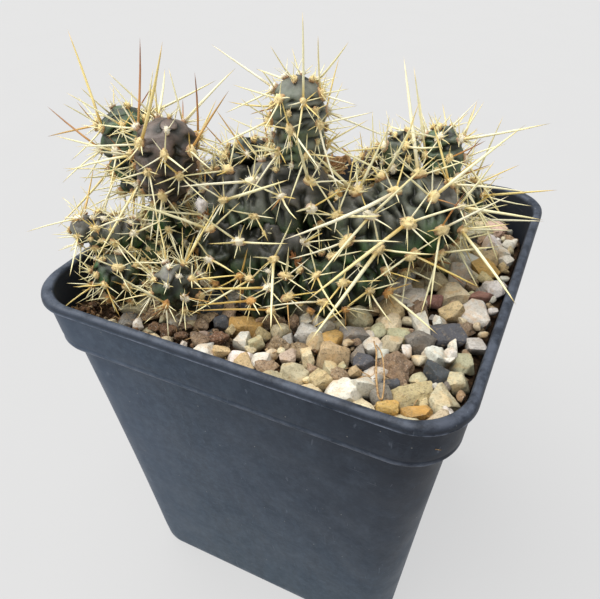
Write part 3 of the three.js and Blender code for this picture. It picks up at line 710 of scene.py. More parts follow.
def make_pot():
    rows = pot_profile()
    points = np.concatenate([square_ring(half, z) for half, z, _, _ in rows])
    count = len(points) // len(rows)
    wobble = (value_noise(points, 30, 3) - 0.5) * WOBBLE * smooth((points[:, 2] - 30) / 40)
    points[:, :2] -= unit(points[:, :2]) * np.abs(wobble)[:, None]
    shape = bmesh.new()
    corners = [shape.verts.new(p) for p in points.tolist()]
    for quad in grid_faces(len(rows), count).tolist():
        shape.faces.new([corners[k] for k in quad])
    # The bottom is cut by round drain holes, outside and inside, and their short walls join the two.
    floors = []
    turns = math.tau * np.arange(HOLE_STEPS) / HOLE_STEPS
    for first, z in ((0, 0.0), (len(points) - count, FLOOR)):
        holes = []
        for x, y in itertools.product((-DRAIN_OFFSET, DRAIN_OFFSET), repeat=2):
            ring = [(x + DRAIN_RADIUS * math.cos(a), y + DRAIN_RADIUS * math.sin(a), z) for a in turns]
            holes.append([shape.verts.new(place) for place in ring])
        loops = [corners[first : first + count], *holes]
        pairs = [pair for loop in loops for pair in zip(loop, following(loop))]
        edges = [shape.edges.get(pair) or shape.edges.new(pair) for pair in pairs]
        bmesh.ops.triangle_fill(shape, use_beauty=True, use_dissolve=False, edges=edges)
        floors.append(holes)
    for lower, upper in zip(*floors):
        for quad in zip(lower, following(lower), following(upper), upper):
            shape.faces.new(quad)
    bmesh.ops.recalc_face_normals(shape, faces=shape.faces[:])
    shape.verts.index_update()
    rounded = np.array([v.co[:] for v in shape.verts])
    polygons = [[v.index for v in face.verts] for face in shape.faces]
    shape.free()
    groups = [np.array([face for face in polygons if len(face) == sides]) for sides in (4, 3)]
    edge, inside = (np.repeat([row[k] for row in rows], count) for k in (2, 3))
    rest = np.zeros(len(rounded) - len(points))
    values = {"edge": np.r_[edge, rest], "inside": np.r_[inside, rest]}
    make_piece("pot_shell", rounded, groups, plastic_material(), ["pot"], values)


# Gravel

# Display colour, how much grain, rust stain and gloss it has, how crumbly its shape is, and how common.
STONE_KINDS = {
    "cream": ((238, 224, 188), 0.2, 0.3, 0.35, 0.03, 10),
    "white": ((236, 231, 220), 0.1, 0.3, 0.7, 0.02, 9),
    "tan": ((214, 192, 146), 0.45, 0.15, 0.2, 0.03, 7),
    "ochre": ((207, 170, 101), 0.35, 0.4, 0.35, 0.02, 0.6),
    "orange": ((182, 141, 84), 0.3, 0.5, 0.5, 0.02, 0.15),
    "grey": ((168, 164, 154), 0.45, 0.08, 0.25, 0.03, 2.5),
    "slate": ((88, 92, 98), 0.25, 0.0, 0.3, 0.02, 1.2),
    "pink": ((226, 200, 182), 0.25, 0.1, 0.3, 0.03, 1.2),
    "lilac": ((232, 226, 218), 0.2, 0.1, 0.4, 0.02, 2),
    "green": ((214, 208, 172), 0.25, 0.25, 0.45, 0.02, 2.5),
    "crumbly": ((188, 160, 130), 0.85, 0.1, 0.05, 0.1, 4),
    "red": ((156, 116, 104), 0.3, 0.05, 0.3, 0.03, 0.3),
    "clod": ((146, 114, 86), 0.9, 0.1, 0.03, 0.13, 0.0),
}
# The darkest share of its colour that a stone may have, by kind.
DARKEST = {"white": 0.84, "ochre": 0.95, "tan": 0.8}
DARKEST_OTHER = 0.6
LIGHTEST = 1.02

# Stones that the photograph shows: kind, place in plan, half-lengths of the three axes, turn in plan.
PLACED_STONES = [
    ("ochre", -4.2, -25.2, 3.5, 2.6, 2.7, 0.45),
    ("white", -2.2, -30.5, 1.9, 1.8, 1.6, 0.2),
    ("crumbly", 4.5, -28.4, 2.4, 2.1, 1.6, 0.7),
    ("cream", 3.4, -24.2, 2.1, 1.9, 1.6, 1.3),
    ("lilac", 8.0, -21.5, 2.3, 2.3, 2.5, 0.4),
    ("grey", 11.2, -18.6, 2.2, 2.0, 1.9, 0.9),
    ("tan", 15.6, -26.4, 3.9, 3.4, 2.5, 0.4),
    ("cream", 11.8, -29.4, 1.4, 2.5, 2.0, 0.5),
    ("pink", 8.7, -31.1, 1.6, 1.5, 1.4, 0.5),
    ("green", 11.6, -34.6, 3.1, 2.1, 1.8, 0.3),
    ("tan", 16.6, -34.0, 2.2, 2.1, 2.2, 0.9),
    ("crumbly", 6.2, -35.1, 2.0, 1.7, 1.4, 0.2),
    ("crumbly", 19.8, -31.8, 1.9, 1.6, 1.4, 0.2),
    ("white", 0.4, -35.2, 2.1, 1.7, 1.5, 0.1),
    ("slate", -9.3, -26.7, 1.8, 1.6, 1.5, 0.6),
    ("crumbly", 28.6, -24.2, 4.3, 4.1, 3.2, 0.4),
    ("white", 24.4, -32.2, 2.5, 2.4, 2.2, 0.5),
    ("slate", 22.2, -26.2, 2.2, 2.0, 1.7, 0.5),
    ("tan", 32.4, -31.3, 4.1, 2.6, 2.4, 0.45),
    ("ochre", 30.2, -35.9, 2.1, 1.5, 1.3, 0.4),
    ("orange", 35.6, -35.0, 2.8, 1.4, 1.1, 0.5),
    ("green", 38.4, -29.5, 3.1, 2.6, 2.3, 0.8),
    ("slate", 36.1, -23.5, 2.8, 2.4, 2.3, 1.1),
    ("white", 34.3, -18.8, 2.0, 2.2, 2.0, 0.9),
    ("green", 39.7, -24.1, 1.8, 2.2, 1.9, 0.3),
    ("green", 39.6, -18.4, 1.8, 2.7, 1.9, 0.4),
    ("slate", 34.5, -11.9, 3.7, 2.3, 1.8, 0.4),
    ("white", 38.0, -2.1, 3.8, 3.4, 2.9, 0.6),
    ("cream", 31.8, 3.2, 3.4, 3.2, 2.6, 0.4),
    ("white", 24.8, -0.9, 3.2, 2.6, 1.8, 0.5),
    ("white", 28.9, -10.6, 1.5, 4.3, 1.7, 0.45),
    ("cream", 22.8, -12.6, 2.5, 2.4, 2.0, 0.5),
    ("grey", 17.2, -18.8, 2.8, 2.6, 2.2, 0.8),
    ("white", 22.1, -21.0, 1.8, 1.6, 1.5, 0.7),
    ("lilac", 40.2, -12.7, 1.6, 1.6, 1.4, 0.4),
    ("red", 37.9, 4.0, 2.9, 1.4, 1.2, 0.7),
    ("white", 39.6, 9.2, 2.3, 2.4, 2.0, 0.7),
    ("ochre", 36.8, 15.8, 2.6, 2.2, 1.8, 0.9),
    ("crumbly", -10.2, -33.6, 2.1, 1.6, 1.5, 0.4),
    ("clod", -6.9, -31.8, 1.9, 1.7, 1.5, 1.0),
    ("tan", -4.4, -35.4, 1.6, 1.3, 1.2, 0.6),
    ("clod", -17.4, -33.2, 2.2, 1.7, 1.5, 0.3),
    ("clod", -13.9, -33.9, 1.4, 1.3, 1.1, 0.9),
    ("crumbly", -12.4, -29.8, 1.8, 1.5, 1.4, 0.2),
    ("green", 0.9, -29.8, 1.9, 1.2, 1.5, 1.2),
    ("clod", -20.6, -33.6, 1.6, 1.5, 1.2, 0.5),
]

STONE_SHARP = math.radians(34)
# Size of the lumps on a stone as a share of its size, and their weight.
STONE_BUMPS = ((0.6, 1), (0.24, 0.8), (0.1, 0.6))
LUMP_BUMPS = ((0.42, 1), (0.17, 0.6), (0.08, 0.35))
CUT_SHARPNESS = 24
PLACED_LIFT = 1.3
TOP_LIFT = 0.9
CLOSENESS = 0.82
# The rest of the stones, big ones first, then what fits between them, then a layer below to close the gaps:
# least and most half-length, how far it sinks, tries, fineness, and number of the piece.
STONE_LAYERS = (
    (2.6, 3.3, 0.4, 900, 3, 1),
    (2.0, 2.7, 0.45, 1500, 2, 1),
    (1.3, 2.0, 0.6, 1900, 2, 1),
    (2.4, 3.4, 1.6, 1800, 1, 2),
    (0.8, 1.4, 0.6, 1600, 1, 2),
)
SPREAD = 42
CRUMB_TRIES = 1500
CRUMB_SPREAD = 41
CRUMBS_ON_PEAT = 0.35
CRUMB_SHAPE = 0.08
# Bare peat shows in the corner at the left and along the wall in front: places in plan and reach.
PEAT_PLACES = [(-38, -37, 9), (-24, -40, 5), (-14, -40, 4)]
PEAT_LIFT = 1.7
BED_SIDE_Z = 76.3
BED_DEPTH = 2.3
BED_RINGS = 63


def gravel_surface(x, y):
    return GRAVEL_TOP + GRAVEL_SLOPE * (x - y)


def peat_share(x, y):
    """1 in the middle of a bare patch, 0 outside it."""
    shares = [np.maximum(0, 1 - np.hypot(x - px, y - py) / reach) for px, py, reach in PEAT_PLACES]
    return np.max(shares, axis=0)


def inside_pot(points):
    """The points, with those that would stand in the pot's wall pushed back to its inner face."""
    bend = CORNER_RADIUS - 3
    core = (inner_half(points[:, 2]) - 0.12 - bend)[:, None]
    nearest = np.clip(points[:, :2], -core, core)
    beyond = points[:, :2] - nearest
    reach = np.maximum(norm(beyond), 1e-9)
    return np.c_[nearest + beyond * np.minimum(1, bend / reach)[:, None], points[:, 2]]


def roughen(draw, points, ways, axes, layers, height):
    """The points moved along their ways by noise that is scaled to the stone."""
    size = float(np.mean(axes))
    spot = points + draw.uniform(-50, 50, 3)
    relief = bumps(spot, 1, *((size * share, weight) for share, weight in layers))
    return points + ways * (relief * height * size)[:, None]


def lump(draw, level, axes, crumble):
    """A crumbly lump: a ball cut by a few soft planes, then stretched and roughened."""
    points, faces = ball(level)
    count = draw.randint(7, 12)
    normals = unit(draw.normal(size=(count, 3)))
    depth = draw.uniform(0.5, 0.95, count)
    reach = np.minimum(depth[None] / np.maximum(points @ normals.T, 0.06), 1.6)
    closeness = np.exp(-CUT_SHARPNESS * reach).sum(1) + math.exp(-CUT_SHARPNESS * 1.25)
    shape = points * (-np.log(closeness) / CUT_SHARPNESS)[:, None] * axes
    return roughen(draw, shape, points, axes, LUMP_BUMPS, (0.05 + crumble) * 2), faces


def cut_block(normals, depths):
    """Triangles of the solid that all the planes leave, fanned from the middle of each face."""
    trios = np.array(list(itertools.combinations(range(len(normals)), 3)))
    trios = trios[np.abs(np.linalg.det(normals[trios])) > 1e-3]
    corners = np.linalg.solve(normals[trios], depths[trios][..., None])[..., 0]
    kept = (corners @ normals.T <= depths + 1e-6).all(1)
    trios, corners = trios[kept], corners[kept]
    triangles = []
    for number, normal in enumerate(normals):
        mine = corners[(trios == number).any(1)]
        if len(mine) < 3:
            continue
        middle = mine.mean(0)
        u, v = perpendicular(normal)
        ring = mine[np.argsort(np.arctan2((mine - middle) @ v, (mine - middle) @ u))]
        triangles += [(middle, a, b) for a, b in zip(ring, np.roll(ring, -1, axis=0))]
    return np.array(triangles)


def split_triangles(triangles, parts):
    """Each triangle split into parts x parts smaller ones, with shared points merged."""
    rows = [(i, j) for i in range(parts + 1) for j in range(parts + 1 - i)]
    small = []
    for i, j in rows:
        if i + j < parts:
            small.append((rows.index((i, j)), rows.index((i + 1, j)), rows.index((i, j + 1))))
        if i + j < parts - 1:
            small.append((rows.index((i + 1, j)), rows.index((i + 1, j + 1)), rows.index((i, j + 1))))
    weights = np.array([(1 - (i + j) / parts, i / parts, j / parts) for i, j in rows])
    points = np.einsum("kc,tcx->tkx", weights, triangles).reshape(-1, 3)
    faces = np.array(small)[None] + (np.arange(len(triangles)) * len(rows))[:, None, None]
    _, first, merged = np.unique(np.round(points, 5), axis=0, return_index=True, return_inverse=True)
    faces = merged.reshape(-1)[faces.reshape(-1, 3)]
    whole = (faces != np.roll(faces, -1, axis=1)).all(1)
    return points[first], faces[whole]


def relax(points, faces, times):
    """Points drawn towards the mean of their neighbours, which blunts the edges a little."""
    starts, ends = faces.ravel(), np.roll(faces, -1, axis=1).ravel()
    count = np.bincount(starts, minlength=len(points))[:, None]
    for _ in range(times):
        total = np.stack([np.bincount(starts, points[ends, k], minlength=len(points)) for k in range(3)], 1)
        points = 0.7 * points + 0.3 * total / count
    return points


def broken_stone(draw, parts, axes, crumble):
    """A crushed stone: a skewed block with its corners and edges struck off."""
    sides = np.concatenate([np.eye(3), -np.eye(3)])
    normals = unit(sides + draw.normal(size=(6, 3)) * 0.24)
    depths = draw.uniform(0.78, 1.0, 6)
    struck = unit(draw.normal(size=(draw.randint(7, 12), 3)))
    normals = np.concatenate([normals, struck])
    depths = np.append(depths, np.abs(struck).sum(1) * draw.uniform(0.5, 0.72, len(struck)))
    points, faces = split_triangles(cut_block(normals, depths), parts)
    points = relax(points, faces, draw.randint(1, 4)) * axes
    return roughen(draw, points, unit(points), axes, STONE_BUMPS, (0.07 + crumble) * 1.3), faces


class Gravel:
    def __init__(self, stems):
        self.stems = stems
        self.draw = seeded("gravel")
        self.middles = np.zeros((0, 3))
        self.radii = np.zeros(0)
        self.piles = [Pile(), Pile(), Pile()]

    def clear(self, middle, radius, overlap):
        """Whether a stone fits between the others, the wall and the stems."""
        if (norm(self.middles - middle) < overlap * (self.radii + radius)).any():
            return False
        half = float(inner_half(middle[2])) - 0.3 - 1.02 * radius
        bend = CORNER_RADIUS - 2
        if np.hypot(*np.maximum(np.abs(middle[:2]) - (half - bend), 0)) > bend:
            return False
        return all(stem.distance(middle[None])[0] > -0.15 * radius for stem in self.stems)

    def put(self, kind, middle, axes, turn, level, pile, tilt=0.85):
        color, grain, stain, gloss, crumble, _ = STONE_KINDS[kind]
        draw = self.draw
        if kind in ("crumbly", "clod"):
            shape, faces = lump(draw, min(level, 3), np.array(axes), crumble)
        else:
            shape, faces = broken_stone(draw, level, np.array(axes) * 1.06, crumble)
        # A small random tip out of level, after the turn in plan.
        level_axis = unit(np.append(draw.normal(size=2), 0))
        tip = Matrix.Rotation(draw.uniform(-tilt, tilt), 3, level_axis)
        shape = inside_pot(shape @ np.array(tip @ Matrix.Rotation(turn, 3, "Z")).T + middle)
        tone = np.array(linear(*color)) * draw.uniform(DARKEST.get(kind, DARKEST_OTHER), LIGHTEST)
        tone = tone * draw.uniform(0.96, 1.04, 3)
        # Painted shade: the underside is darker, down in the gaps between the stones.
        height = (shape[:, 2] - middle[2]) / axes[2]
        tone = tone * (0.16 + 0.84 * smooth((height + 0.65) / 1.1))[:, None]
        self.piles[pile].add(shape, faces, np.clip(tone, 0, 0.95), grain=grain, stain=stain, gloss=gloss)
        self.middles = np.vstack([self.middles, middle])
        self.radii = np.append(self.radii, np.mean(axes))

    def fill(self):
        draw = self.draw
        for kind, x, y, a, b, c, turn in PLACED_STONES:
            middle = np.array([x, y, gravel_surface(x, y) + PLACED_LIFT - c])
            self.put(kind, middle, (a, b, c), turn, 4, 0, 0.35)
        kinds = list(STONE_KINDS)
        share = np.array([STONE_KINDS[kind][5] for kind in kinds])
        for low, high, drop, tries, level, pile in STONE_LAYERS:
            for _ in range(tries):
                x, y = draw.uniform(-SPREAD, SPREAD, 2)
                size = draw.uniform(low, high)
                z = gravel_surface(x, y) + TOP_LIFT - drop * size - draw.uniform(0, 1.0)
                middle = np.array([x, y, z])
                if peat_share(x, y) > 0 or not self.clear(middle, size, CLOSENESS):
                    continue
                kind = draw.choice(kinds, p=share / share.sum())
                axes = size * draw.uniform((0.95, 0.8, 0.65), (1.3, 1.08, 0.95))
                self.put(kind, middle, axes, draw.uniform(0, math.pi), level, pile)

    def crumbs(self):
        """Grit, peat crumbs and broken bits that lie in the gaps, thickest in the corner at the left."""
        draw = self.draw
        pile = Pile()
        for _ in range(CRUMB_TRIES):
            x, y = draw.uniform(-CRUMB_SPREAD, CRUMB_SPREAD, 2)
            if draw.uniform() < CRUMBS_ON_PEAT:
                px, py, reach = PEAT_PLACES[draw.randint(len(PEAT_PLACES))]
                x, y = np.array([px, py]) + draw.normal(size=2) * reach * 0.6
            size = draw.uniform(0.25, 0.9)
            bare = peat_share(x, y)
            middle = np.array([x, y, gravel_surface(x, y) - draw.uniform(0.4, 1.9) + 1.4 * min(1, 2 * bare)])
            if not self.clear(middle, size, 0.0):
                continue
            peat = draw.uniform() < (0.85 if bare > 0 else 0.4)
            tone = np.array(linear(112, 80, 54) if peat else linear(184, 160, 124)) * draw.uniform(0.55, 1.3)
            shape, faces = lump(draw, 0, size * draw.uniform(0.6, 1.2, 3), CRUMB_SHAPE)
            pile.add(inside_pot(shape + middle), faces, tone, grain=0.6, stain=0.1, gloss=0.1)
        return pile


def make_bed():
    """The grit under and between the stones, a closed slab with a rough top."""
    outline = square_ring(float(inner_half(79.0)) - 0.25, 0)[:, :2]
    count = len(outline)
    x, y = np.concatenate([outline * share for share in np.linspace(0, 1, BED_RINGS + 1)[1:]]).T
    z = gravel_surface(x, y) - BED_DEPTH
    z = z + bumps(np.c_[x, y, z], 5, (2.6, 1.5), (1.0, 0.8), (0.5, 0.4))
    lifted = z + PEAT_LIFT * smooth(peat_share(x, y) * 2.5)
    top = inside_pot(np.c_[x, y, np.maximum(lifted, BED_SIDE_Z + 0.4)])
    side = square_ring(float(inner_half(BED_SIDE_Z)) - 0.4, BED_SIDE_Z)
    foot = square_ring(float(inner_half(SOIL_TOP)) - 0.4, SOIL_TOP + 0.02)
    hearts = [[0, 0, z[:count].mean()], [0, 0, SOIL_TOP + 0.02]]
    last = len(top) + 2 * count
    caps = np.concatenate([fan(last, 0, count), fan(last + 1, last - count, count, turned=True)])
    points = np.concatenate([top, side, foot, hearts])
    shader = earth_material("grit_bed", linear(26, 19, 13), linear(78, 58, 40))
    groups = [grid_faces(BED_RINGS + 2, count)[:, ::-1], caps]
    make_piece("gravel_bed", points, groups, shader, ["gravel"])


def make_gravel(stems):
    gravel = Gravel(stems)
    gravel.fill()
    shader = stone_material()
    for number, pile in enumerate(gravel.piles):
        pile.piece(f"gravel_stones_{number + 1}", shader, "gravel", ["gravel"], sharp=STONE_SHARP)
    gravel.crumbs().piece("gravel_crumbs", shader, "gravel", ["gravel"])
    make_bed()


# Stem segments

SKIN_CELL = 0.328
# Reliefs of the skin as shares of the half-width.
VALLEY = 0.06
SWELL = 0.06
SEAM_DEPTH = 0.02
PLEAT_DEPTH = 0.2
CREASE_DEPTH = 0.16
# Heights below which painted shade darkens the skin towards the ground, everywhere and on the shaded
# segments.
LOW_Z = 94
SHADE_Z = 103
FINE_SPINE_TRIES = 12
# The spine shader's tones: straw or golden below, brown above.
STRAW_TONES = (0.0, 0.62)
BROWN_TONES = (0.72, 1.0)
# Display colours of the areoles up to each age, and the rust at their foot.
WOOL_TONES = ((0.35, (254, 246, 220)), (1.15, (250, 226, 164)), (2.0, (232, 178, 100)))
WOOL_FOOT = (170, 108, 50)
BRISTLES = 76
BRISTLE_WIDTH = 0.048
YOUNG_LIFT = 0.06
YOUNG_ROWS = 26
YOUNG_COLUMNS = 30
BARE_SHARE = 0.7
BARE_SHARE_SLIM = 0.56
PRESS_GAP = 0.2
CAD_REACH = 0.12
FAR = 9.0


class Stem:
    def __init__(self, name, base, tip, radius, turn, spacing, purple, brown, bloom, shade):
        self.step = LEAST_SPACING + SPACING_GROWTH * radius
        spacing = spacing or self.step
        self.name = name
        self.radius = radius
        self.turn = turn
        self.purple = purple
        self.brown = brown
        self.bloom = bloom
        self.shade = shade
        self.base = np.array(base, float)
        self.tip = np.array(tip, float)
        self.length = norm(self.tip - self.base)
        self.axis = unit(self.tip - self.base)
        reference = (0, 1, 0) if abs(self.axis[2]) > 0.9 else (0, 0, 1)
        self.side = unit(np.cross(reference, self.axis))
        self.front = np.cross(self.axis, self.side)
        self.columns = 2 * math.floor(math.tau * radius / spacing + 0.5)
        self.rows = 2 * max(2, math.floor(self.length / spacing + 0.5)) + 1
        self.lean = math.log(0.5) / math.log(WIDEST.get(name, FATTEST))
        self.pressed_by = []
        self.joined = []

    def share(self, i):
        even = np.asarray(i, float) / (self.rows + 1)
        return EVENNESS * even + (1 - EVENNESS) * (1 - np.cos(np.pi * even)) / 2

    def angle(self, j):
        return math.tau * j / self.columns + self.turn

    def profile(self, share):
        t = np.clip(share, 0, 1) ** self.lean
        return self.radius * np.sqrt(np.maximum(0, 1 - np.abs(2 * t - 1) ** BLUNTNESS))

    def place(self, share, angle, radius):
        share, angle, radius = (np.asarray(x, float)[..., None] for x in (share, angle, radius))
        across = self.side * np.cos(angle) + self.front * np.sin(angle)
        return self.base + self.axis * share * self.length + across * radius

    def lattice_point(self, i, j):
        peak = i % 2 == 0 and (j + i // 2) % 2 == 0
        radius = self.profile(self.share(i)) + (TUBERCLE * self.radius if peak else 0)
        return self.place(self.share(i), self.angle(j), radius)

    def normal(self, i, j):
        along = self.lattice_point(i + 1, j) - self.lattice_point(i - 1, j)
        across = self.lattice_point(i, j + 1) - self.lattice_point(i, j - 1)
        return unit(np.cross(across, along))

    def distance(self, points):
        """How far points lie outside the body, negative inside it."""
        offset = points - self.base
        along = offset @ self.axis
        radial = norm(offset - along[:, None] * self.axis)
        share = along / self.length
        beyond = np.where(share < 0, -along, along - self.length)
        outside = np.hypot(beyond, np.maximum(0, radial - 0.3 * self.radius))
        beside = radial - self.profile(share) - TUBERCLE * self.radius
        return np.where((share < 0) | (share > 1), outside, beside)

    def nearest_tubercles(self, i, j, width):
        """How far each place of the lattice lies from its nearest and its second nearest tubercle."""
        best = np.full(i.shape, FAR)
        second = np.full(i.shape, FAR)
        row = 2 * np.round(i / 2)
        for di in (-2, 0, 2):
            near = np.clip(row + di, 2, self.rows - 1)
            parity = (near / 2) % 2
            column = 2 * np.round((j - parity) / 2) + parity
            for dj in (-2, 0, 2):
                gap = np.hypot((i - near) / 2, (j - column - dj) / 2 * width)
                gap = np.where(np.abs(row + di - near) > 0.5, FAR, gap)
                second = np.minimum(second, np.maximum(best, gap))
                best = np.minimum(best, gap)
        return best, second

    def relief(self, i, j, share, angle):
        """Height of the tubercles and folds in millimetres, and the fold's and the rib's share."""
        radius = self.radius
        width = self.profile(share) / radius
        best, second = self.nearest_tubercles(i, j, width)
        lift = 1 - smooth(best / 0.85)
        spot = self.place(share, angle, self.profile(share)).reshape(-1, 3)
        offset = spot - self.base
        wander = value_noise(spot, 3.0, 11)
        # Pleats run round the segment: they bend past the areoles, come and go, and meet in sharp folds.
        phase = (offset @ self.axis) / (1.5 + 0.17 * radius) + 0.3 * lift.ravel()
        phase += 1.7 * value_noise(spot, 6.5, 15) + 0.5 * value_noise(spot, 2.4, 16)
        rib = np.abs(np.sin(math.pi * phase)) ** 0.8
        strength = smooth((value_noise(spot, 4.2, 17) - 0.18) / 0.35)
        # Creases cut across them here and there.
        local = np.stack([offset @ self.side * 0.45, offset @ self.front * 0.45, offset @ self.axis], -1)
        local[:, 2] += 2.4 * (wander - 0.5)
        crease = ridges(local + 7 * self.length, 2.6 + 0.16 * radius, 12) ** 6
        swell = value_noise(spot, 6.0, 13) - 0.5
        shaped = (x.reshape(i.shape) for x in (wander, rib, strength, crease, swell))
        wander, rib, strength, crease, swell = shaped
        calm = smooth(best / 0.5)
        whole = smooth(width / 0.5)
        edge = np.exp(-(((second - best) / 0.24) ** 2)) * smooth(best / 0.45)
        pleat = (1 - rib) ** 1.3 * strength * calm
        cut = crease * calm * (0.3 + wander)
        height = TUBERCLE * radius * lift - VALLEY * radius * (1 - lift) * whole
        depth = SEAM_DEPTH * edge * (0.3 + wander) + PLEAT_DEPTH * pleat + CREASE_DEPTH * cut
        height += SWELL * radius * swell * calm - (0.35 + 0.85 * radius) * whole * depth
        fold = whole * (0.2 * edge * wander + 1.5 * pleat**1.3 + 1.3 * cut)
        return height, np.clip(fold, 0, 1), rib * strength

    def press(self, points, centre, other):
        """The points drawn back out of another segment, and how close to it they then lie."""
        inside = (other.distance(points) < PRESS_GAP) & (other.distance(centre) > 0)
        low, high = np.zeros(len(points)), np.ones(len(points))
        for _ in range(9):
            middle = (low + high) / 2
            outside = other.distance(centre + (points - centre) * middle[:, None]) > PRESS_GAP
            low, high = np.where(outside, middle, low), np.where(outside, high, middle)
        points = np.where(inside[:, None], centre + (points - centre) * low[:, None], points)
        return points, np.clip(1 - np.abs(other.distance(points)) / 1.2, 0, 1)

    def skin(self):
        """The points of the tubercled skin, its faces and the values for its shader."""
        around = int(math.tau * self.radius / SKIN_CELL)
        rings = int((self.length + self.radius) / SKIN_CELL)
        even = np.linspace(0, 1, rings + 2)[1:-1]
        i, j = np.meshgrid(even * (self.rows + 1), np.arange(around) * self.columns / around, indexing="ij")
        share, angle = self.share(i), self.angle(j)
        height, fold, ridge = self.relief(i, j, share, angle)
        fade = smooth(np.minimum(even, 1 - even) / 0.06)[:, None]
        points = self.place(share, angle, self.profile(share) + height * fade).reshape(-1, 3)
        centre = (self.base + self.axis * share[..., None] * self.length).reshape(-1, 3)
        for foot, outward in self.young:
            near = norm(points - foot) / (0.5 + 0.17 * self.radius)
            points += outward * (YOUNG_LIFT * self.radius * np.exp(-(near**2)))[:, None]
        near_joint, pressed = np.zeros((2, len(points)))
        for other in self.joined:
            near_joint = np.maximum(0, 1 - np.abs(other.distance(points)) / JOINT_REACH)
            points += unit(points - centre) * (near_joint**2 * JOINT_REACH / 4)[:, None]
        for other in self.pressed_by:
            points, close = self.press(points, centre, other)
            pressed = np.maximum(pressed, close)
        # The two ends of the axis close the skin.
        points, centre = np.vstack([points, self.base, self.tip]), np.vstack([centre, self.base, self.tip])
        last = rings * around
        caps = np.concatenate([fan(last, 0, around, turned=True), fan(last + 1, last - around, around)])
        share = np.append(share, (0, 1))
        fold, ridge, pressed, near_joint = (np.append(x, (0, 0)) for x in (fold, ridge, pressed, near_joint))
        z = points[:, 2]
        upward = unit(points - centre)[:, 2]
        sun = self.purple - 0.08 + 0.42 * upward + 0.4 * (value_noise(points, 5.0, 21) - 0.5) + 0.2 * share
        sun += (0.45 - self.purple) * smooth(near_joint * 1.4)
        low = smooth((LOW_Z - z) / 10)
        # Shader values: painted shadow in the folds and where another segment presses (fold), painted shade
        # low down (low), and the pale bloom with its painted sheen.
        values = {
            "sun": sun,
            "fold": np.clip(fold + 0.3 * pressed, 0, 1),
            "low": low + (1 - low) * self.shade * smooth((SHADE_Z - z) / 8),
            "bloom": smooth((upward + 0.75) / 1.45) * (0.6 + 0.7 * ridge) * self.bloom,
        }
        return points, [grid_faces(rings, around), caps], values

    def read_cad(self):
        """Reads the areoles of the CAD solid, and its spines: points drawn far out of a small triangle."""
        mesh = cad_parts[self.name].data
        corners = np.array([v.co for v in mesh.vertices]) / MM
        points, index = np.unique(np.round(corners, 3), axis=0, return_inverse=True)
        faces = index.reshape(-1)[[v for face in mesh.polygons for v in face.vertices]].reshape(-1, 3)
        self.cad_spines = []
        for tip in np.flatnonzero(np.bincount(faces.ravel(), minlength=len(points)) == 3):
            around = np.setdiff1d(faces[(faces == tip).any(1)], [tip])
            if len(around) != 3:
                continue
            foot = points[around].mean(0)
            if np.ptp(points[around], axis=0).max() < 2 and norm(points[tip] - foot) > 2.2:
                self.cad_spines.append((foot, points[tip]))
        self.grown = []
        for i, j in itertools.product(range(2, self.rows, 2), range(self.columns)):
            foot, outward = self.lattice_point(i, j), self.normal(i, j)
            top = foot + outward * AREOLE_HEIGHT
            if (j + i // 2) % 2 == 0 and norm(points - top).min() < CAD_REACH:
                self.grown.append((foot, outward))

    def find_young(self, stems):
        """Finds open skin that lies far from every areole, where small young ones grow."""
        turns = math.tau * np.arange(YOUNG_COLUMNS) / YOUNG_COLUMNS
        share, angle = np.meshgrid(np.linspace(0.06, 0.985, YOUNG_ROWS), turns, indexing="ij")
        share, angle = share.ravel(), angle.ravel()
        points = self.place(share, angle, self.profile(share))
        heart = self.base + self.axis * (self.length * np.clip(share, 0.25, 0.75))[:, None]
        outward = unit(points - heart)
        above = points + outward * 1.2
        room = np.min([other.distance(above) for other in stems if other is not self], axis=0)
        open_air = (room > 0.8) & (points[:, 2] > gravel_surface(points[:, 0], points[:, 1]) + 2.5)
        points, outward = points[open_air], outward[open_air]
        gap = norm(points[:, None] - np.array([foot for foot, _ in self.grown])).min(1)
        least = (BARE_SHARE if self.radius > 5 else BARE_SHARE_SLIM) * self.step
        self.young = []
        while len(points) and gap.max() > least:
            k = int(np.argmax(gap))
            self.young.append((points[k] + outward[k] * YOUNG_LIFT * self.radius * 0.8, outward[k]))
            gap = np.minimum(gap, norm(points - points[k]))


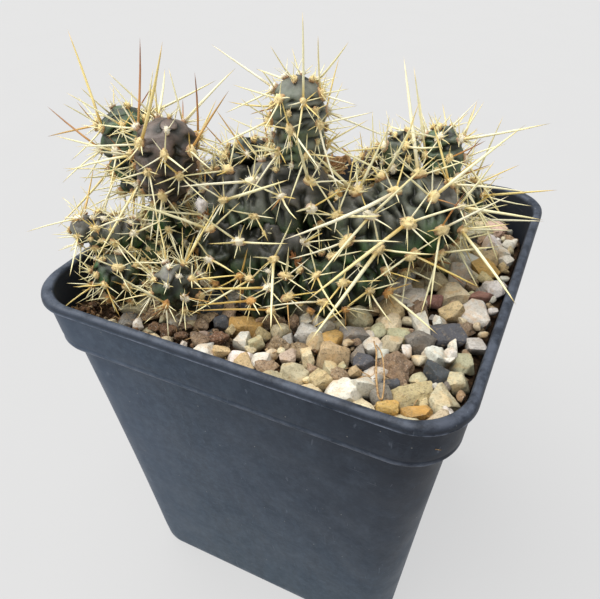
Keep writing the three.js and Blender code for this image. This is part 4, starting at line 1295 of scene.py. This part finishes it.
class Spines:
    """The spines and bristles of one segment."""

    def __init__(self, stem, stems):
        self.stem = stem
        self.stems = stems
        self.draw = seeded(stem.name)
        self.starts, self.ends, self.widths, self.tones = [], [], [], []
        self.bristles = Pile()

    def add(self, start, end, width, tone):
        self.starts.append(start)
        self.ends.append(end)
        self.widths.append(width)
        self.tones.append(tone)

    def add_long(self):
        """The spines of the CAD solid, rooted in their areoles."""
        stem, draw = self.stem, self.draw
        feet = np.array([foot for foot, _ in stem.grown])
        for foot, tip in stem.cad_spines:
            near = feet[np.argmin(norm(feet - foot))]
            start = near + unit(foot - near + (tip - near) * 0.02) * 0.25
            width = (0.09 + 0.0118 * norm(tip - near)) * (0.76 + 0.027 * stem.radius)
            width *= draw.uniform(0.9, 1.12)
            brown = stem.brown * (1.6 if tip[2] - foot[2] > 5 else 0.5) + 0.3 * (foot[2] < 90)
            tones = BROWN_TONES if draw.uniform() < brown else STRAW_TONES
            self.add(start, tip, width, draw.uniform(*tones))

    def add_fine(self, foot, outward, young):
        """Finer spines between the long ones, where nothing is in their way."""
        stem, draw = self.stem, self.draw
        slim = stem.radius < 5
        slack = -TUBERCLE * stem.radius if young else 0.0
        u, v = perpendicular(outward)
        mine = [unit(end - start) for start, end in zip(self.starts, self.ends) if norm(start - foot) < 0.9]
        for _ in range(draw.randint(3, 7) if slim else draw.randint(2, 5)):
            for _ in range(FINE_SPINE_TRIES):
                angle, tilt = draw.uniform(0, math.tau), draw.uniform(0.5, 1.35)
                way = (u * math.cos(angle) + v * math.sin(angle)) * math.sin(tilt) + outward * math.cos(tilt)
                length = draw.uniform(2.2, 6.6) * (0.6 + 0.05 * stem.radius) * (0.85 if young else 1)
                # On the thick segments most of them point down.
                if not slim and way[2] > min(-0.1, outward[2] - 0.4) and draw.uniform() < 0.8:
                    continue
                line = foot + way * length * np.linspace(0.3, 1, 5)[:, None]
                if any(np.dot(other, way) > 0.94 for other in mine):
                    continue
                rooms = ((other, other.distance(line).min()) for other in self.stems)
                if any(room < (slack if other is stem else 0.3) for other, room in rooms):
                    continue
                if (line[:, 2] < gravel_surface(line[:, 0], line[:, 1]) + 1.5).any():
                    continue
                width = draw.uniform(0.07, 0.12)
                self.add(foot + way * 0.2, foot + way * length, width, draw.uniform(0.0, 0.6))
                mine.append(way)
                break

    def add_areole(self, foot, outward, scale):
        """An oval cushion of matted bristles, rusty at its foot, with finer ones standing out of it."""
        stem, draw = self.stem, self.draw
        size = (0.6 + 0.05 * stem.radius) * draw.uniform(0.8, 1.15) * scale
        old = smooth((stem.radius - 4.5) / 4) * 0.35 + 0.8 * smooth((LOW_Z - foot[2]) / 9)
        age = draw.uniform() + 0.55 * old
        tone = next(tone for limit, tone in WOOL_TONES if age < limit)
        base = np.array(linear(*tone)) * draw.uniform(0.92, 1.12)
        turn = draw.uniform(-0.6, 0.6)
        u = perpendicular(outward)[0]
        lengthways = unit(stem.axis - outward * np.dot(stem.axis, outward) + 1e-3 * u)
        across = np.cross(outward, lengthways)
        cos, sin = math.cos(turn), math.sin(turn)
        ways = np.array([across * cos - lengthways * sin, lengthways * cos + across * sin, outward])
        reach = size * np.array([draw.uniform(0.72, 0.95), draw.uniform(1.05, 1.5), 0.95])
        points, faces = ball(2)
        lumps = 1 + bumps(points * 3 + foot, 31, (1.1, 0.7), (0.5, 0.4))
        cushion = (points * lumps[:, None] * reach) @ ways + foot + outward * 0.25 * size
        rusty = smooth((0.55 - points[:, 2]) / 0.7)[:, None] * 0.8
        self.bristles.add(cushion, faces, base * (1 - rusty) + np.array(linear(*WOOL_FOOT)) * rusty)
        angle = draw.uniform(0, math.tau, BRISTLES)
        tilt = np.sqrt(draw.uniform(0.02, 1, BRISTLES)) * 1.5
        out = np.stack([np.cos(angle) * np.sin(tilt), np.sin(angle) * np.sin(tilt), np.cos(tilt)], -1)
        start = foot + outward * 0.2 * size + (out * reach * 0.8) @ ways
        length = draw.uniform(0.3, 1.1, BRISTLES) * (0.5 + 0.05 * stem.radius) * (1.2 - 0.5 * tilt)
        way = out @ ways + draw.normal(size=(BRISTLES, 3)) * 0.25
        tones = base * (1 - 0.45 * smooth(tilt / 1.5 - 0.4)[:, None]) * draw.uniform(0.9, 1.5, (BRISTLES, 1))
        end = start + way * (length + 0.15 * size)[:, None]
        self.bristles.add_hairs(start, end, BRISTLE_WIDTH, np.clip(tones, 0, 0.97))

    def make(self, spine_shader, wool_shader):
        stem = self.stem
        self.add_long()
        for number, (foot, outward) in enumerate(stem.grown + stem.young):
            young = number >= len(stem.grown)
            self.add_fine(foot, outward, young)
            self.add_areole(foot, outward, 0.72 if young else 1)
        starts, ends = np.array(self.starts), np.array(self.ends)
        bends = self.draw.normal(size=starts.shape) * 0.012 * norm(ends - starts)[:, None]
        points, faces, along, per = cones(starts, ends, np.array(self.widths), 7, bends=bends)
        values = {"along": along, "tone": np.repeat(self.tones, per)}
        make_piece(stem.name + ".spines", points, faces, spine_shader, [stem.name], values)
        self.bristles.piece(stem.name + ".areoles", wool_shader, "areole_wool", [stem.name])


def make_stems(stems):
    green, purple = skin_material("skin_green", GREEN_SKIN), skin_material("skin_purple", PURPLE_SKIN)
    spine_shader, wool_shader = spine_material(), wool_material()
    for k, stem in enumerate(stems):
        stem.pressed_by = stems[:k]
        if stem.name in JOINED:
            stem.joined = [other for other in stems if other.name in JOINED and other is not stem]
        stem.read_cad()
        stem.find_young(stems)
        points, faces, values = stem.skin()
        shader = purple if stem.purple > 0.55 else green
        make_piece(stem.name + ".skin", points, faces, shader, [stem.name], values)
        Spines(stem, stems).make(spine_shader, wool_shader)


ROOT_POINTS = 7
ROOT_WIDTHS = (1.9, 1.6, 1.3, 0.9)


def make_roots(stems):
    """The short roots that hold the lowest segments in the soil."""
    pile = Pile()
    draw = seeded("roots")
    for stem in stems:
        if stem.name in ROOTED:
            top = stem.base + stem.axis * stem.length * 0.25
            line = np.linspace(top, (top[0], top[1], ROOT_END), ROOT_POINTS)
            line[1:, :2] += draw.normal(size=(ROOT_POINTS - 1, 2)) * 0.12
            pile.add(*tube(line, ROOT_WIDTHS, 9))
    pile.piece("roots", dry_material("root_bark", linear(72, 52, 34), linear(128, 96, 62)), "soil")


# Small things that lie about

FIBRES = 95
CORNER_FIBRES = 70
FIBRE_LIMIT = 41.2
# A thin root that loops over the stones at the front, in two strands: place in plan and height over them.
ROOT_LOOP = (
    (22.6, -22.0, 2.2), (24.2, -25.2, 2.6), (25.4, -28.6, 2.5), (26.6, -31.8, 2.3), (28.2, -35.2, 1.7),
    (29.0, -35.4, 1.5), (28.2, -32.2, 2.2), (26.9, -28.8, 2.6), (25.2, -25.2, 2.6), (23.2, -22.2, 1.6),
)
# Shreds of dead skin, the last three on an old rusty areole low on the body: place and size.
DRIED_BITS = (
    (27.7, 11.3, 96.3, 1.5), (29.0, 10.6, 95.6, 0.9), (-18.8, -15.2, 99.8, 1.2), (-19.4, -15.6, 98.4, 0.9),
    (2.9, -14.0, 91.7, 1.3), (2.3, -14.0, 92.4, 1.1), (1.5, -13.9, 93.4, 0.9),
)
FLOWER_BASE = np.array([1.5, 2.6, 105.5])
FLOWER_TIP = np.array([6.8, 4.6, 109.5])
PETALS = 11
PETAL_THICKNESS = 0.22
PETAL_STEPS = 12
PETAL_COLUMNS = 6
TUFT_MIDDLE = np.array([-18.4, -16.2, 102.2])
TUFT_SHAPE = (1.1, 1.0, 1.35)
TUFT_HAIRS = 160


def make_fibres(stems):
    """Root hairs and peat fibres on the gravel, most of them in the corner at the left."""
    draw = seeded("fibres")
    pile = Pile()
    for k in range(FIBRES):
        if k < CORNER_FIBRES:
            x, y = draw.uniform(-41, -24), draw.uniform(-41, -20)
        else:
            x, y = draw.uniform(-30, 40), draw.uniform(-40, -24)
        room = min(stem.distance(np.array([[x, y, 82.5]]))[0] for stem in stems)
        if room < 0.5 or max(abs(x), abs(y)) > 40:
            continue
        turn = draw.uniform(0, math.tau)
        line = [np.array([x, y, gravel_surface(x, y) + draw.uniform(-0.2, 0.5)])]
        for _ in range(5):
            turn += draw.uniform(-0.9, 0.9)
            point = line[-1] + np.array([math.cos(turn), math.sin(turn), 0]) * draw.uniform(0.5, 1.1)
            point[:2] = np.clip(point[:2], -FIBRE_LIMIT, FIBRE_LIMIT)
            point[2] = gravel_surface(*point[:2]) + draw.uniform(-0.3, 0.9)
            line.append(point)
        width = draw.uniform(0.05, 0.13)
        pile.add(*tube(line, (width, width * 0.7), 5, 3))
    loop = [(x, y, gravel_surface(x, y) + lift) for x, y, lift in ROOT_LOOP]
    pile.add(*tube(loop, (0.15, 0.2, 0.16, 0.12), 6))
    pile.piece("root_fibres", dry_material("fibre", linear(112, 80, 50), linear(204, 170, 122)), "soil")


def petal(draw, root, way, up, length, width, curl):
    """A thin crumpled strip with two skins."""
    side = unit(np.cross(way, up))
    heading, lift, point = way, up, np.array(root, float)
    rows = []
    cos, sin = math.cos(curl / PETAL_STEPS), math.sin(curl / PETAL_STEPS)
    for k in range(PETAL_STEPS + 1):
        half = width * (0.35 + 0.65 * math.sin(math.pi * min(1, k / PETAL_STEPS * 1.1 + 0.1)) ** 0.7) / 2
        for m in np.linspace(-1, 1, PETAL_COLUMNS):
            rows.append(point + side * m * half + lift * m**2 * half * 0.6)
        heading, lift = heading * cos + lift * sin, lift * cos - heading * sin
        point = point + heading * length / PETAL_STEPS
    sheet = np.array(rows)
    sheet += (value_noise(sheet + 9, 0.9, 41)[:, None] - 0.5) * 0.7 * up
    sheet += draw.normal(size=sheet.shape) * 0.04
    count = len(sheet)
    front = grid_faces(PETAL_STEPS + 1, PETAL_COLUMNS, closed=False)
    # The border of the strip, once round, joins the two skins.
    places = np.arange(count).reshape(-1, PETAL_COLUMNS)
    border = np.concatenate([places[0], places[1:, -1], places[-1, -2::-1], places[-2:0:-1, 0]])
    after = np.roll(border, -1)
    rim = np.stack([border, border + count, after + count, after], 1)
    faces = np.concatenate([front, front[:, ::-1] + count, rim])
    return np.concatenate([sheet, sheet - up * PETAL_THICKNESS]), faces


def make_dried_flower():
    draw = seeded("dried_flower")
    way = unit(FLOWER_TIP - FLOWER_BASE)
    u, v = perpendicular(way)
    flower = Pile()
    for k in range(PETALS):
        angle = math.tau * k / PETALS + draw.uniform(-0.3, 0.3)
        out = u * math.cos(angle) + v * math.sin(angle)
        root = FLOWER_BASE + out * 0.5 + way * draw.uniform(0, 1.2)
        heading = unit(way + out * draw.uniform(0.15, 0.55))
        up = unit(np.cross(np.cross(heading, out), heading))
        length, width, curl = (draw.uniform(*limits) for limits in ((3.6, 5.8), (1.3, 2.1), (-1.8, 1.2)))
        flower.add(*petal(draw, root, heading, up, length, width, curl))
    flower.add(*petal(draw, (6.3, 3.9, 107.6), unit([0.05, 0.1, 1]), unit([-1, -0.3, 0.1]), 4.2, 1.6, 1.1))
    core, faces = lump(draw, 3, np.array([1.5, 1.5, 1.3]), 0.12)
    flower.add(core + FLOWER_BASE + way * 1.4, faces)
    shader = dry_material("dried_petal", linear(150, 98, 62), linear(230, 194, 148))
    flower.piece("dried_flower_petals", shader, "dried_flower", ["dried_flower"])
    bits = Pile()
    for x, y, z, size in DRIED_BITS:
        for _ in range(3):
            heading = unit(draw.normal(size=3) * (1, 1, 0.6))
            up = perpendicular(heading)[1]
            bits.add(*petal(draw, (x, y, z), heading, up, size * 1.6, size * 0.7, draw.uniform(0.5, 2)))
    shader = dry_material("dried_rust", linear(104, 66, 36), linear(186, 132, 84))
    bits.piece("dried_bits", shader, "dried_flower")


def make_wool_tuft():
    """A white cottony tuft caught between two segments."""
    draw = seeded("tuft")
    points, faces = ball(3)
    lumps = 0.75 + 0.6 * value_noise(points * 2 + 5, 1.1, 51) + bumps(points * 2, 52, (0.4, 0.2))
    tuft = Pile()
    tuft.add(points * lumps[:, None] * TUFT_SHAPE + TUFT_MIDDLE, faces, linear(236, 230, 226))
    way = unit(draw.normal(size=(TUFT_HAIRS, 3)))
    start = TUFT_MIDDLE + way * 0.9 * TUFT_SHAPE
    end = start + (way + draw.normal(size=way.shape) * 0.5) * draw.uniform(0.4, 1.1, (TUFT_HAIRS, 1))
    tuft.add_hairs(start, end, 0.04, np.tile(linear(246, 242, 238), (TUFT_HAIRS, 1)))
    shader = Shader("white_wool", Specular_IOR_Level=0.1, Sheen_Weight=0.5)
    shader.paint = shader.tint()
    shader.stain(linear(196, 176, 168), shader.noise(0.3, 3), 0.4, 0.7, 0, 0.3)
    tuft.piece("wool_tuft", shader.finish(0.95, (shader.noise(0.2, 3, 0.7), 0.1)), "areole_wool")


# The whole scene

make_camera()
make_light()
make_floor()
make_pot()
all_stems = [Stem(*row) for row in STEMS]
make_gravel(all_stems)
soil_shader = earth_material("soil_peat", linear(40, 28, 18), linear(78, 56, 38), 1.2)
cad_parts["soil"].material_slots[0].material = soil_shader
make_stems(all_stems)
make_roots(all_stems)
make_fibres(all_stems)
make_dried_flower()
make_wool_tuft()

bpy.context.scene.view_settings.view_transform = "Standard"
